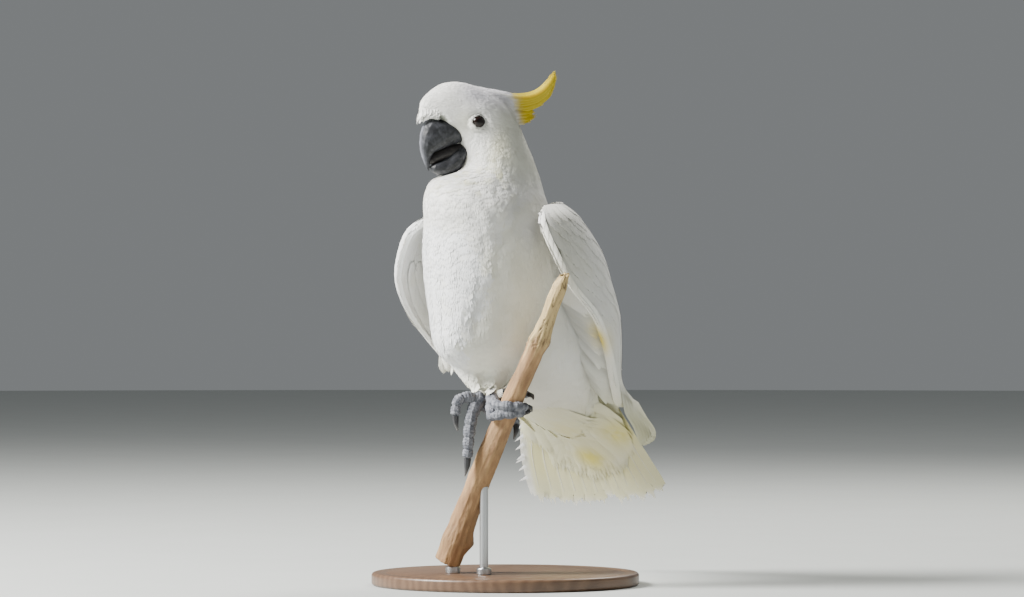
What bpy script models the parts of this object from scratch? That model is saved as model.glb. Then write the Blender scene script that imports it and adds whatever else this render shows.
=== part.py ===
"""A life-size white cockatoo, still, gripping a short cut perch on a plain display stand.

The bird faces -Y and its left side is +X. The origin is the middle of the stand's underside.
Lengths in the tables are millimetres above the floor or from the named axis; MM turns them into metres.
"""

import math

import bmesh
import bpy
from mathutils import Matrix, Vector

MM = 0.001
GAP = 0.4 * MM  # clear space left between pieces that meet

# Driving dimensions.
GRIP_HEIGHT = 173.0  # of the feet above the floor
BODY_SETBACK = -25.0  # the body's own axis, along Y
HEAD_TURN = math.radians(38)  # towards the bird's right
HEAD_AXIS = (-8.0, -42.0)
EYE_RADIUS = 7.2
EYE_PLACE = (1.3, 19.9, 431.8)
PERCH_TURN = math.radians(34)  # plane in which the perch leans, from the body's own side axis
PERCH_ORIGIN = (7.5, -20.0, GRIP_HEIGHT)
PERCH_LEAN_SIDE = 0.40
PERCH_LEAN_AHEAD = 0.33
PERCH_AT_GRIP = (11.7, 45.0)
PERCH_BOTTOM = -150.0
PERCH_TOP = 116.0
BASE_RADIUS = 125.0
BASE_THICKNESS = 12.0
ROD_RADIUS = 4.0
TAIL_LENGTH = 204.0

RING_SIDES = 20
UP = Vector((0, 0, 1))

MATERIALS = {
    "white_feather": ((0.86, 0.86, 0.82), 0.75, 0.0),
    "yellow_feather": ((0.86, 0.76, 0.18), 0.7, 0.0),
    "bill": ((0.045, 0.047, 0.05), 0.42, 0.0),
    "leg_skin": ((0.14, 0.145, 0.165), 0.62, 0.0),
    "claw": ((0.06, 0.058, 0.06), 0.4, 0.0),
    "eye": ((0.01, 0.008, 0.008), 0.08, 0.0),
    "perch_wood": ((0.5, 0.33, 0.19), 0.75, 0.0),
    "stand_wood": ((0.2, 0.13, 0.08), 0.45, 0.0),
    "stand_steel": ((0.5, 0.5, 0.5), 0.3, 1.0),
}


def clear_scene():
    for obj in list(bpy.data.objects):
        bpy.data.objects.remove(obj)


def material(name):
    found = bpy.data.materials.get(name)
    if found:
        return found
    colour, roughness, metallic = MATERIALS[name]
    made = bpy.data.materials.new(name)
    made.use_nodes = True
    shader = made.node_tree.nodes["Principled BSDF"]
    shader.inputs["Base Color"].default_value = (*colour, 1)
    shader.inputs["Roughness"].default_value = roughness
    shader.inputs["Metallic"].default_value = metallic
    return made


# Frames. Each turns millimetres in a local frame into metres in the part's frame.


def head_point(forward, side, height):
    """forward is towards the bill, side towards the bird's left, height above the floor."""
    ahead = Vector((-math.sin(HEAD_TURN), -math.cos(HEAD_TURN), 0))
    left = Vector((math.cos(HEAD_TURN), -math.sin(HEAD_TURN), 0))
    axis = Vector((*HEAD_AXIS, 0))
    return (axis + ahead * forward + left * side + UP * height) * MM


def perch_point(side, ahead, height):
    """side and ahead lie across and out of the perch's plane, height is above the grip."""
    across = Vector((math.cos(PERCH_TURN), math.sin(PERCH_TURN), 0))
    out = Vector((math.sin(PERCH_TURN), -math.cos(PERCH_TURN), 0))
    return (Vector(PERCH_ORIGIN) + across * side + out * ahead + UP * height) * MM


def body_point(side, back, height):
    return Vector((side, back + BODY_SETBACK, height)) * MM


# Shape tools.


def smooth(rows, count):
    """count rows along a Catmull-Rom curve through the given rows of numbers, ends included."""
    spans = [math.dist(a, b) ** 0.5 for a, b in zip(rows, rows[1:])]
    knots = [0.0]
    for span in spans:
        knots.append(knots[-1] + max(span, 1e-6))
    made = []
    for i in range(count):
        at = knots[-1] * i / (count - 1)
        k = max(j for j in range(len(rows) - 1) if knots[j] <= at + 1e-9)
        made.append(catmull_rom(rows, knots, k, at))
    return made


def catmull_rom(rows, knots, k, at):
    here, there = knots[k], knots[k + 1]
    width = there - here
    t = (at - here) / width

    def slope(i):
        low, high = max(i - 1, 0), min(i + 1, len(rows) - 1)
        run = knots[high] - knots[low]
        return [(b - a) / run for a, b in zip(rows[low], rows[high])]

    starts, ends = slope(k), slope(k + 1)
    h00, h10 = 2 * t**3 - 3 * t**2 + 1, t**3 - 2 * t**2 + t
    h01, h11 = -2 * t**3 + 3 * t**2, t**3 - t**2
    return [
        h00 * a + h10 * width * m + h01 * b + h11 * width * n
        for a, m, b, n in zip(rows[k], starts, rows[k + 1], ends)
    ]


def new_object(name, mesh_or_bm, kind):
    if isinstance(mesh_or_bm, bmesh.types.BMesh):
        mesh = bpy.data.meshes.new(name)
        bmesh.ops.recalc_face_normals(mesh_or_bm, faces=mesh_or_bm.faces)
        mesh_or_bm.to_mesh(mesh)
        mesh_or_bm.free()
    else:
        mesh = mesh_or_bm
    obj = bpy.data.objects.new(name, mesh)
    bpy.context.scene.collection.objects.link(obj)
    mesh.materials.clear()
    mesh.materials.append(material(kind))
    mesh.shade_smooth()
    mesh.set_sharp_from_angle(angle=math.radians(50))
    return obj


def loft(name, rings, kind, start=None, end=None):
    """A closed solid through rings of points. start and end are pole points, or None for flat caps."""
    bm = bmesh.new()
    loops = [[bm.verts.new(p) for p in ring] for ring in rings]
    for low, high in zip(loops, loops[1:]):
        for i, a in enumerate(low):
            j = (i + 1) % len(low)
            bm.faces.new((a, low[j], high[j], high[i]))
    for loop, pole in ((loops[0], start), (loops[-1], end)):
        if pole is None:
            bm.faces.new(loop)
            continue
        tip = bm.verts.new(pole)
        for i, a in enumerate(loop):
            bm.faces.new((a, loop[(i + 1) % len(loop)], tip))
    bmesh.ops.triangulate(bm, faces=bm.faces)
    return new_object(name, bm, kind)


def path_frames(path):
    """(tangent, side, lift) at each point, carried along the path without twist."""
    frames = []
    side = None
    for i in range(len(path)):
        tangent = (path[min(i + 1, len(path) - 1)] - path[max(i - 1, 0)]).normalized()
        if side is None:
            side = tangent.orthogonal().normalized()
        side = (side - tangent * side.dot(tangent)).normalized()
        frames.append((tangent, side, tangent.cross(side)))
    return frames


def tube(name, path, radii, kind, sides=10, start=None, end=None):
    """A round solid along a path, with one radius for each point."""
    rings = []
    for point, radius, (_, side, lift) in zip(path, radii, path_frames(path)):
        turn = [2 * math.pi * k / sides for k in range(sides)]
        rings.append([point + (side * math.cos(a) + lift * math.sin(a)) * radius for a in turn])
    return loft(name, rings, kind, start, end)


def plate(name, surface, thickness, kind, rows, columns):
    """A closed sheet about surface(s, v), where s runs from 0 to 1 and v from -1 to 1."""
    step = 1e-3
    fronts, backs = [], []
    for i in range(rows + 1):
        for j in range(columns + 1):
            s, v = i / rows, 2 * j / columns - 1
            along = surface(min(s + step, 1), v) - surface(max(s - step, 0), v)
            across = surface(s, min(v + step, 1)) - surface(s, max(v - step, -1))
            normal = along.cross(across).normalized()
            half = thickness(s, v) * MM / 2
            fronts.append(surface(s, v) + normal * half)
            backs.append(surface(s, v) - normal * half)
    bm = bmesh.new()
    front = [bm.verts.new(p) for p in fronts]
    back = [bm.verts.new(p) for p in backs]
    width = columns + 1
    for i in range(rows):
        for j in range(columns):
            a = i * width + j
            corners = (a, a + 1, a + width + 1, a + width)
            bm.faces.new([front[k] for k in corners])
            bm.faces.new([back[k] for k in reversed(corners)])
    last = rows * width
    border = list(range(width))
    border += [i * width + columns for i in range(1, rows + 1)]
    border += [last + j for j in range(columns - 1, -1, -1)]
    border += [i * width for i in range(rows - 1, 0, -1)]
    for a, b in zip(border, border[1:] + border[:1]):
        bm.faces.new((front[a], front[b], back[b], back[a]))
    bmesh.ops.triangulate(bm, faces=bm.faces)
    return new_object(name, bm, kind)


def evaluated_mesh(obj):
    graph = bpy.context.evaluated_depsgraph_get()
    return bpy.data.meshes.new_from_object(obj.evaluated_get(graph), depsgraph=graph)


def swollen(obj, by=GAP):
    """A hidden copy of a solid, grown by a little along its normals, for cutting its neighbours."""
    bm = bmesh.new()
    bm.from_mesh(evaluated_mesh(obj))
    bm.normal_update()
    moves = [v.normal * by * min(v.calc_shell_factor(), 2.5) for v in bm.verts]
    for vertex, move in zip(bm.verts, moves):
        vertex.co += move
    mesh = bpy.data.meshes.new("cutter_" + obj.name)
    bm.to_mesh(mesh)
    bm.free()
    copy = bpy.data.objects.new("cutter_" + obj.name, mesh)
    copy.hide_render = True
    copy.display_type = "WIRE"
    bpy.context.scene.collection.objects.link(copy)
    return copy


def carve(target, *others, by=GAP):
    """Cuts the others, grown by the gap, from target, and keeps target's largest piece."""
    for other in others:
        cutter = swollen(other, by)
        boolean = target.modifiers.new("carve", "BOOLEAN")
        boolean.operation = "DIFFERENCE"
        boolean.solver = "EXACT"
        boolean.object = cutter
        bpy.context.view_layer.update()
        mesh = evaluated_mesh(target)
        if not mesh.vertices:
            boolean.use_self = True  # for a bent solid that touches itself
            bpy.context.view_layer.update()
            mesh = evaluated_mesh(target)
        target.modifiers.clear()
        target.data = largest_piece(mesh)
        bpy.data.objects.remove(cutter)
    return target


def largest_piece(mesh):
    bm = bmesh.new()
    bm.from_mesh(mesh)
    bmesh.ops.dissolve_degenerate(bm, edges=bm.edges, dist=1e-6)
    todo, pieces = set(bm.faces), []
    while todo:
        seen, queue = set(), [todo.pop()]
        while queue:
            face = queue.pop()
            seen.add(face)
            near = {f for e in face.edges if len(e.link_faces) == 2 for f in e.link_faces}
            near &= todo
            queue += near
            todo -= near
        pieces.append(seen)
    keep = max(pieces, key=lambda piece: sum(f.calc_area() for f in piece))
    bmesh.ops.delete(bm, geom=[f for f in bm.faces if f not in keep], context="FACES")
    bmesh.ops.triangulate(bm, faces=bm.faces)
    bm.to_mesh(mesh)
    bm.free()
    mesh.shade_smooth()
    mesh.set_sharp_from_angle(angle=math.radians(50))
    return mesh


def slice_between(source, name, low, high):
    """The part of source between two planes, each (point, normal) with the normal pointing up."""
    mesh = evaluated_mesh(source)
    bm = bmesh.new()
    bm.from_mesh(mesh)
    for plane, sign in ((low, 1), (high, -1)):
        if plane is None:
            continue
        point, normal = plane
        normal = Vector(normal).normalized() * sign
        cut = bmesh.ops.bisect_plane(
            bm,
            geom=bm.verts[:] + bm.edges[:] + bm.faces[:],
            plane_co=Vector(point) + normal * GAP / 2,
            plane_no=normal,
            clear_inner=True,
        )
        edges = [e for e in cut["geom_cut"] if isinstance(e, bmesh.types.BMEdge)]
        bmesh.ops.edgenet_fill(bm, edges=edges)
    bmesh.ops.triangulate(bm, faces=bm.faces)
    return new_object(name, bm, "white_feather")


def mirrored(point, side):
    return Vector((point.x * side, point.y, point.z))


# The figure: head, neck and trunk as one form of level slices, parted by thin cuts.
# height above the floor, axis x, axis y, turn in degrees, reach to the front and back, half width, flare.
# The flare widens a slice's back and narrows its front.

FIGURE = (
    (467.0, -8, -42, 38, 31, -5, 12.0, 0),
    (461.0, -8, -42, 38, 41, 10, 18.0, 0.1),
    (453.0, -8, -42, 38, 50, 24, 22.0, 0.28),
    (444.0, -8, -42, 38, 54.5, 35, 23.5, 0.5),
    (437.5, -8, -42, 38, 54.5, 39, 23.8, 0.58),
    (432.5, -8, -42, 38, 49, 42, 24.4, 0.5),
    (427.5, -8, -42, 38, 36, 45, 25.2, 0.35),
    (421.0, -8, -42, 38, 24, 47.5, 26.2, 0.25),
    (414.0, -8, -42, 38, 17, 50.5, 28.2, 0.15),
    (404.0, -8, -41, 37, 13, 54.5, 31.2, 0.05),
    (394.0, -7, -39, 35, 13, 58, 34.5, 0),
    (387.5, -7, -38, 32, 18, 60, 37.0, 0),
    (382.0, -6, -37, 29, 33, 61.5, 39.5, 0),
    (377.0, -5, -36, 25, 47, 63, 42.0, 0),
    (370.0, -3, -34, 17, 55, 64.5, 45.5, 0),
    (362.0, -2, -32, 11, 61, 65, 50.0, 0),
    (350.0, 0, -29, 4, 66, 66, 56.0, 0),
    (330.0, 0, -25, 0, 66, 68, 61.0, 0),
    (307.0, 0, -25, 0, 67, 72, 64.0, 0.05),
    (282.0, 0, -25, 0, 67, 81, 66.0, 0.12),
    (260.0, 0, -25, 0, 66, 92, 68.0, 0.22),
    (240.0, 0, -25, 0, 66, 102, 69.0, 0.30),
    (226.0, 0, -25, 0, 66, 108, 68.0, 0.34),
    (216.0, 0, -25, 0, 60, 112, 66.5, 0.36),
    (206.0, 0, -25, 0, 43, 116, 64.0, 0.38),
    (196.0, 0, -25, 0, 20, 120, 60.0, 0.38),
    (186.0, 0, -25, 0, -8, 125, 56.0, 0.36),
    (174.0, 0, -25, 0, -42, 131, 50.0, 0.32),
    (162.0, 0, -25, 0, -74, 138, 43.0, 0.25),
    (150.0, 0, -25, 0, -102, 145, 33.0, 0.15),
    (138.0, 0, -25, 0, -128, 153, 20.0, 0),
)
FIGURE_SLICES = 42
CROWN_TOP = 469.0
COVERTS_END = 132.0


def figure_ring(row):
    height, axis_x, axis_y, turn, front, back, half_width, flare = row
    angle = math.radians(turn)
    ahead = Vector((-math.sin(angle), -math.cos(angle), 0))
    left = Vector((math.cos(angle), -math.sin(angle), 0))
    middle = Vector((axis_x, axis_y, height)) + ahead * (front - back) / 2
    reach = (front + back) / 2
    ring = []
    for k in range(RING_SIDES):
        a = 2 * math.pi * k / RING_SIDES
        breadth = half_width * math.sin(a) * (1 - flare * math.cos(a))
        ring.append((middle + ahead * reach * math.cos(a) + left * breadth) * MM)
    return ring


def build_figure():
    rows = smooth(FIGURE, FIGURE_SLICES)
    top = sum(figure_ring(rows[0]), Vector()) / RING_SIDES
    bottom = sum(figure_ring(rows[-1]), Vector()) / RING_SIDES
    top.z = CROWN_TOP * MM
    bottom.z = COVERTS_END * MM
    return loft("figure", [figure_ring(r) for r in rows], "white_feather", top, bottom)


NECK_TOP = (Vector((-8, -42, 393)) * MM, (-0.35, -0.45, 1))
NECK_FOOT = (Vector((0, -29, 338)) * MM, (0, -0.25, 1))


def build_body():
    figure = build_figure()
    head = slice_between(figure, "head", NECK_TOP, None)
    neck = slice_between(figure, "neck", NECK_FOOT, NECK_TOP)
    trunk = slice_between(figure, "trunk", None, NECK_FOOT)
    bpy.data.objects.remove(figure)
    return head, neck, trunk


# The bill. Each row is culmen (forward, height), cutting edge (forward, height) and half width.

UPPER_BILL = (
    (31, 433, 6, 415, 10.5),
    (43.5, 433.5, 19, 409.8, 11.3),
    (49.6, 424, 27.5, 406.3, 10.6),
    (51.2, 412, 34.5, 404, 8.8),
    (50, 401.5, 39.5, 401, 6.0),
    (46.8, 392.5, 41.5, 395, 3.4),
)
UPPER_TIP = (42.8, 384)
LOWER_BILL = (
    (7, 400, 7, 410, 9.5),
    (12.5, 387.5, 16, 408, 10.8),
    (22, 381.2, 22.5, 401.5, 10.4),
    (31, 381.2, 29.5, 395.3, 8.9),
    (37.5, 384.5, 35.5, 392.2, 6.4),
)
LOWER_TIP = (40.6, 389)
TONGUE = ((10, 403, 4.6), (20, 401.5, 5.2), (29, 399.5, 4.6), (35, 398, 3.4))
BILL_SIDES = 16


def bill_ring(row):
    upper_forward, upper_height, lower_forward, lower_height, half_width = row
    ridge = head_point(upper_forward, 0, upper_height)
    edge = head_point(lower_forward, 0, lower_height)
    left = (head_point(0, 1, 0) - head_point(0, 0, 0)).normalized()
    ring = []
    for k in range(BILL_SIDES):
        a = 2 * math.pi * k / BILL_SIDES
        bulge = math.copysign(abs(math.sin(a)) ** 0.8, math.sin(a))
        mid = (ridge + edge) / 2
        ring.append(mid + (ridge - edge) / 2 * math.cos(a) + left * half_width * MM * bulge)
    return ring


def build_bill(head):
    upper_rows = smooth(UPPER_BILL, 9)
    upper_tip = head_point(UPPER_TIP[0], 0, UPPER_TIP[1])
    upper = loft("bill_upper", [bill_ring(r) for r in upper_rows], "bill", end=upper_tip)
    lower_rows = smooth([(c, d, a, b, w) for a, b, c, d, w in LOWER_BILL], 7)
    lower_tip = head_point(LOWER_TIP[0], 0, LOWER_TIP[1])
    lower = loft("bill_lower", [bill_ring(r) for r in lower_rows], "bill", end=lower_tip)
    path = [head_point(forward, 0, height) for forward, height, _ in TONGUE]
    tongue = tube("tongue", path, [r * MM for _, _, r in TONGUE], "bill", 10, end=head_point(37.5, 0, 397))
    carve(lower, upper)
    carve(tongue, upper, lower)
    carve(head, upper, lower, tongue)


def build_eyes(head):
    forward, side, height = EYE_PLACE
    for name, sign in (("eye_left", 1), ("eye_right", -1)):
        bm = bmesh.new()
        bmesh.ops.create_icosphere(bm, subdivisions=3, radius=EYE_RADIUS * MM)
        bmesh.ops.translate(bm, verts=bm.verts, vec=head_point(forward, side * sign, height))
        carve(head, new_object(name, bm, "eye"))


# The crest, folded back in the head's own plane: rows of upper edge, lower edge and half thickness.

CREST_HORN = (
    (-6, 462.5, -6, 450, 10.0),
    (-18, 461.5, -20, 446, 9.5),
    (-32, 459, -35, 443, 8.0),
    (-44, 457.5, -48, 443, 6.2),
    (-57, 459, -60, 447, 4.6),
    (-67, 464, -70.5, 453.5, 3.6),
    (-74, 471, -77, 461.5, 2.8),
    (-79, 479, -81, 471.5, 2.0),
)
HORN_TIP = (-82, 484)
CREST_FAN = (
    (-20, 446, -24, 428, 9.0),
    (-34, 444, -40, 427.5, 7.5),
    (-47, 445, -52, 428.5, 5.0),
    (-58, 445, -60, 432, 3.0),
)
FAN_TIP = (-66, 441)


def blade_ring(row, sides=12):
    top_forward, top_height, low_forward, low_height, half = row
    left = (head_point(0, 1, 0) - head_point(0, 0, 0)).normalized()
    top = head_point(top_forward, 0, top_height)
    low = head_point(low_forward, 0, low_height)
    ring = []
    for k in range(sides):
        a = 2 * math.pi * k / sides
        ring.append((top + low) / 2 + (top - low) / 2 * math.cos(a) + left * half * MM * math.sin(a))
    return ring


def build_crest(head):
    horn_rows = smooth(CREST_HORN, 13)
    horn_tip = head_point(HORN_TIP[0], 0, HORN_TIP[1])
    horn = loft("crest_horn", [blade_ring(r) for r in horn_rows], "yellow_feather", end=horn_tip)
    fan_rows = smooth(CREST_FAN, 8)
    fan_tip = head_point(FAN_TIP[0], 0, FAN_TIP[1])
    fan = loft("crest_fan", [blade_ring(r) for r in fan_rows], "yellow_feather", end=fan_tip)
    carve(fan, head, horn)
    carve(horn, head)


# The tail: a fan about a line that leans back, slightly arched across. It is spread a little unevenly.

TAIL_BASE = (0.0, 88.0, 250.0)
TAIL_LEAN = math.radians(32)
TAIL_ARCH = 7.0
TAIL_HALF_WIDTHS = {1: (24, 33, 43, 53, 64, 77), -1: (24, 40, 54, 66, 76, 73)}  # base to end, by side


def tail_half_width(s, side):
    widths = [(w,) for w in TAIL_HALF_WIDTHS[side]]
    at = min(s, 1) * (len(widths) - 1)
    k = min(int(at), len(widths) - 2)
    return catmull_rom(widths, list(range(len(widths))), k, at)[0]


def tail_surface(s, v):
    half = tail_half_width(s, 1 if v > 0 else -1)
    drop = TAIL_LENGTH * s * (1 - 0.085 * v * v * s)
    arch = TAIL_ARCH * v * v * (0.4 + 0.6 * s)
    side, back, height = TAIL_BASE
    back += drop * math.sin(TAIL_LEAN) - arch * math.cos(TAIL_LEAN)
    height -= drop * math.cos(TAIL_LEAN) + arch * math.sin(TAIL_LEAN)
    return body_point(side + half * v, back, height)


def build_tail(trunk):
    def thickness(s, v):
        return 7.0 - 5.4 * s - 0.8 * abs(v)

    tail = plate("tail", tail_surface, thickness, "white_feather", 7, 10)
    carve(tail, trunk)


# The wings: a curved sheet from the leading edge round to the inner edge over the back.
# Each row is x, back, height of the leading edge, then the same of the inner edge, then the bulge.
# The left wing is held a little off the body, the right one is tucked over the tail.

WINGS = {
    "left": (
        (60, -2, 353, 34, 34, 355, 14),
        (71, -26, 337, 27, 50, 340, 31),
        (84, -25, 308, 20, 73, 310, 42),
        (93, -12, 280, 15, 88, 280, 43),
        (100, 19, 252, 14, 105, 248, 36),
        (97, 46, 222, 18, 122, 216, 25),
        (88, 73, 192, 34, 142, 188, 10),
        (76, 101, 164, 60, 162, 166, 4),
    ),
    "right": (
        (58, -6, 347, 32, 32, 350, 12),
        (70, -30, 330, 27, 49, 334, 32),
        (84, -28, 306, 20, 72, 306, 40),
        (97, -14, 282, 15, 88, 280, 42),
        (102, 10, 254, 14, 105, 250, 38),
        (100, 42, 226, 14, 121, 220, 28),
        (84, 72, 194, 20, 140, 190, 14),
        (62, 100, 170, 34, 156, 168, 7),
    ),
}
WING_TIPS = {
    "left": (
        (76, 101, 164, 60, 162, 166, 4),
        (73, 126, 150, 62, 174, 150, 4),
        (70, 146, 137, 65, 182, 138, 2),
        (68, 160, 129, 67, 176, 129, 1),
    ),
    "right": (
        (62, 100, 170, 34, 156, 168, 7),
        (50, 122, 156, 40, 166, 154, 4),
        (46, 142, 146, 42, 172, 144, 2),
        (44, 154, 140, 43, 166, 140, 1),
    ),
}
WING_PARTING = 0.012  # share of the outline left open between the wing and its tip


def wing_surface(rows, side):
    knots = list(range(len(rows)))

    def surface(s, v):
        at = s * (len(rows) - 1)
        k = min(int(at), len(rows) - 2)
        values = catmull_rom(rows, knots, k, at)
        lead, inner, bulge = Vector(values[:3]), Vector(values[3:6]), values[6]
        share = (v + 1) / 2
        chord = inner - lead
        outward = Vector((chord.y, -chord.x, 0)).normalized()
        point = lead + chord * share + outward * bulge * math.sin(math.pi * share) ** 0.8
        return mirrored(body_point(*point), side)

    return surface


def build_wings(trunk, neck, tail):
    for name, side in (("left", 1), ("right", -1)):
        surface = wing_surface(WINGS[name], side)
        tip_surface = wing_surface(WING_TIPS[name], side)

        def thickness(s, v):
            edge = 1 - abs(v) ** 3
            swell = 8.5 * (1 - s) * math.sin(math.pi * min(s + 0.15, 1) ** 0.7)
            return (3.0 + swell) * (0.35 + 0.65 * edge)

        def tip_thickness(s, v):
            return 2.6 - 1.2 * s

        wing = plate(f"wing_{name}", surface, thickness, "white_feather", 12, 8)
        tip = plate(
            f"wing_tip_{name}",
            lambda s, v: tip_surface(WING_PARTING + s * (1 - WING_PARTING), v),
            tip_thickness,
            "white_feather",
            5,
            5,
        )
        carve(wing, trunk, neck, tail)
        carve(tip, trunk, tail, wing)


# Legs. Points are in the perch's frame: side, ahead, height above the grip, then radius.

THIGHS = {
    "left": ((2, -4, 52, 21), (2, 8, 36, 18), (0, 19, 22, 12), (-4, 25, 13, 7.5), (-6, 28, 9, 6)),
    "right": ((-32, -4, 50, 21), (-29, 4, 35, 17), (-24, 12, 20, 12), (-20, 18, 11, 7.5), (-19, 21, 7, 6)),
}
FEET = {"left": (-6, 31, 3, 7.2), "right": (-20, 25, 0, 7.4)}


def leg_tube(name, points, kind, count, sides=10, point_end=False):
    rows = smooth(points, count)
    path = [perch_point(*row[:3]) for row in rows]
    radii = [row[3] * MM for row in rows]
    ahead = (path[-1] - path[-2]).normalized()
    behind = (path[0] - path[1]).normalized()
    end = path[-1] + ahead * radii[-1] * (1.5 if point_end else 0.7)
    return tube(name, path, radii, kind, sides, path[0] + behind * radii[0] * 0.5, end)


def wrapped_toe(side_sign, drop, turns, radius, lean=0.0):
    """Rows of a toe that lies round the perch. Angle 0 is the side away from the body."""
    rows = []
    first, last = turns
    count = 6
    for k in range(count):
        share = k / (count - 1)
        angle = math.radians(first + (last - first) * share)
        height = drop + lean * share
        axis_side = PERCH_AT_GRIP[0] + PERCH_LEAN_SIDE * height
        axis_ahead = PERCH_AT_GRIP[1] + PERCH_LEAN_AHEAD * height
        thick = radius * (1 - 0.22 * share)
        reach = perch_radius(height) + thick + 0.5
        side = axis_side + reach * math.sin(angle) * side_sign
        rows.append((side, axis_ahead + reach * math.cos(angle), height, thick))
    return rows


# Toes 1 and 4 point back, 2 and 3 forward. Each entry is the toe's rows and its claw's end points.


def toe_rows():
    left_joint = (-7, 33, 2, 6.2)
    left_heel = (-5, 28, 1, 5.6)
    right_joint = (-20, 26, 0, 6.2)
    right_heel = (-20, 22, -2, 5.6)
    return {
        "left_2": [left_joint] + wrapped_toe(1, -3, (-62, 70), 4.9, -2),
        "left_3": [left_joint] + wrapped_toe(1, -13.5, (-66, 72), 5.1, 3),
        "left_1": [left_heel] + wrapped_toe(-1, 7, (150, 236), 4.6, -1),
        "left_4": [left_heel] + wrapped_toe(-1, -5, (145, 215), 4.6, -2),
        "right_3": [
            right_joint,
            (-25.5, 34, -10, 6.0),
            (-28, 37, -26, 5.8),
            (-29, 37, -40, 5.3),
            (-29.7, 36, -51, 4.9),
        ],
        "right_2": [
            right_joint,
            (-29, 30, 3.5, 5.6),
            (-36.5, 33, 2, 5.4),
            (-40.3, 35, -4, 5.2),
            (-40.9, 36, -12, 4.7),
        ],
        "right_4": [
            right_heel,
            (-12, 18, -7, 5.4),
            (0, 17, -12, 5.2),
            (10, 21, -16, 4.8),
            (15, 27, -21, 4.3),
        ],
        "right_1": [
            right_heel,
            (-23, 17, -9, 5.2),
            (-26, 15, -20, 4.8),
            (-27, 17, -31, 4.3),
        ],
    }


CLAWS = {
    "left_2": ((5, -6, -1), (6, -14, -5)),
    "left_3": ((5, -6, 1), (5, -14, 2)),
    "left_1": ((4, 5, -1), (5, 12, -4)),
    "left_4": ((5, 3, -1), (12, 7, -3)),
    "right_3": ((-0.5, -0.5, -9), (-2.5, -1, -18)),
    "right_2": ((0.3, 0, -7), (2, -1, -15)),
    "right_4": ((0, 3, -7), (-2, 6, -14)),
    "right_1": ((0, 2, -7), (1, 5, -13)),
}


def build_claw(name, last_row):
    side, ahead, height, radius = last_row
    near, far = CLAWS[name]
    rows = [(side, ahead, height, radius * 0.72)]
    rows.append((side + near[0], ahead + near[1], height + near[2], radius * 0.55))
    rows.append((side + far[0], ahead + far[1], height + far[2], 0.7))
    return leg_tube("claw_" + name, rows, "claw", 5, 7, point_end=True)


def build_legs(trunk, perch, tail):
    toes = toe_rows()
    for side in ("left", "right"):
        thigh = leg_tube(f"thigh_{side}", THIGHS[side], "white_feather", 7, 12)
        carve(thigh, trunk)
        ankle = THIGHS[side][-1][:3]
        halfway = [(a + b) / 2 for a, b in zip(ankle, FEET[side])]
        rows = [(*ankle, 5.4), (*halfway, 6.2), FEET[side]]
        foot = leg_tube(f"foot_{side}", rows, "leg_skin", 4, 10)
        carve(foot, thigh, perch)
        solids = [foot]
        for number in (3, 2, 4, 1):
            name = f"{side}_{number}"
            toe = leg_tube("toe_" + name, toes[name], "leg_skin", 8, 8)
            carve(toe, perch, thigh)
            carve(toe, *solids, by=1.6 * GAP)
            solids.append(toe)
        for number in (3, 2, 4, 1):
            name = f"{side}_{number}"
            claw = build_claw(name, toes[name][-1])
            carve(claw, perch)
            carve(claw, *solids, by=1.6 * GAP)
            solids.append(claw)
        LEG_SOLIDS[side] = solids
    for solid in LEG_SOLIDS["right"]:
        near = [s for s in LEG_SOLIDS["left"] if boxes_meet(solid, s)]
        carve(solid, *near, by=1.6 * GAP)


LEG_SOLIDS = {}


def boxes_meet(a, b):
    def box(obj):
        points = [v.co for v in obj.data.vertices]
        return [(min(p[i] for p in points), max(p[i] for p in points)) for i in range(3)]

    return all(low <= top and bottom <= high for (low, high), (bottom, top) in zip(box(a), box(b)))


# The perch, a dead stick broken off at its top, and the stand under it.


def perch_radius(height):
    share = (height - PERCH_BOTTOM) / (PERCH_TOP - PERCH_BOTTOM)
    taper = 12.9 - 5.0 * share
    knot = 1.5 * math.exp(-(((height - 58) / 7) ** 2))
    knot += 1.2 * math.exp(-(((height + 128) / 8) ** 2))
    return taper + knot


def perch_axis(height):
    bend = 1.6 * math.sin(height / 45)
    side = PERCH_AT_GRIP[0] + PERCH_LEAN_SIDE * height + bend
    return perch_point(side, PERCH_AT_GRIP[1] + PERCH_LEAN_AHEAD * height, height)


def knot_bulge(height, rightness):
    """Stubs of side twigs, on the perch's right as seen from ahead."""
    low = 0.42 * math.exp(-(((height + 128) / 7) ** 2))
    high = 0.22 * math.exp(-(((height - 56) / 6) ** 2))
    return (low + high) * max(rightness, 0) ** 3


def build_perch():
    count, sides = 27, 12
    heights = [PERCH_BOTTOM + (PERCH_TOP - PERCH_BOTTOM) * k / (count - 1) for k in range(count)]
    path = [perch_axis(h) for h in heights]
    across = (perch_point(1, 0, 0) - perch_point(0, 0, 0)).normalized()
    rings = []
    for height, point, (_, side, lift) in zip(heights, path, path_frames(path)):
        ring = []
        for k in range(sides):
            a = 2 * math.pi * k / sides
            out = side * math.cos(a) + lift * math.sin(a)
            uneven = 1 + 0.03 * math.sin(3 * a + height / 21) + 0.02 * math.sin(5 * a - height / 13)
            uneven += knot_bulge(height, out.dot(across))
            ring.append(point + out * perch_radius(height) * uneven * MM)
        rings.append(ring)
    axis = (path[-1] - path[-2]).normalized()
    for k, point in enumerate(rings[-1]):
        broken = point + axis * (5 * math.sin(2.4 * k) + 4 * math.cos(k * 0.45)) * MM
        rings[-1][k] = broken.lerp(path[-1], 0.35)
    return loft("perch", rings, "perch_wood", end=path[-1] + axis * 3 * MM)


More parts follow.
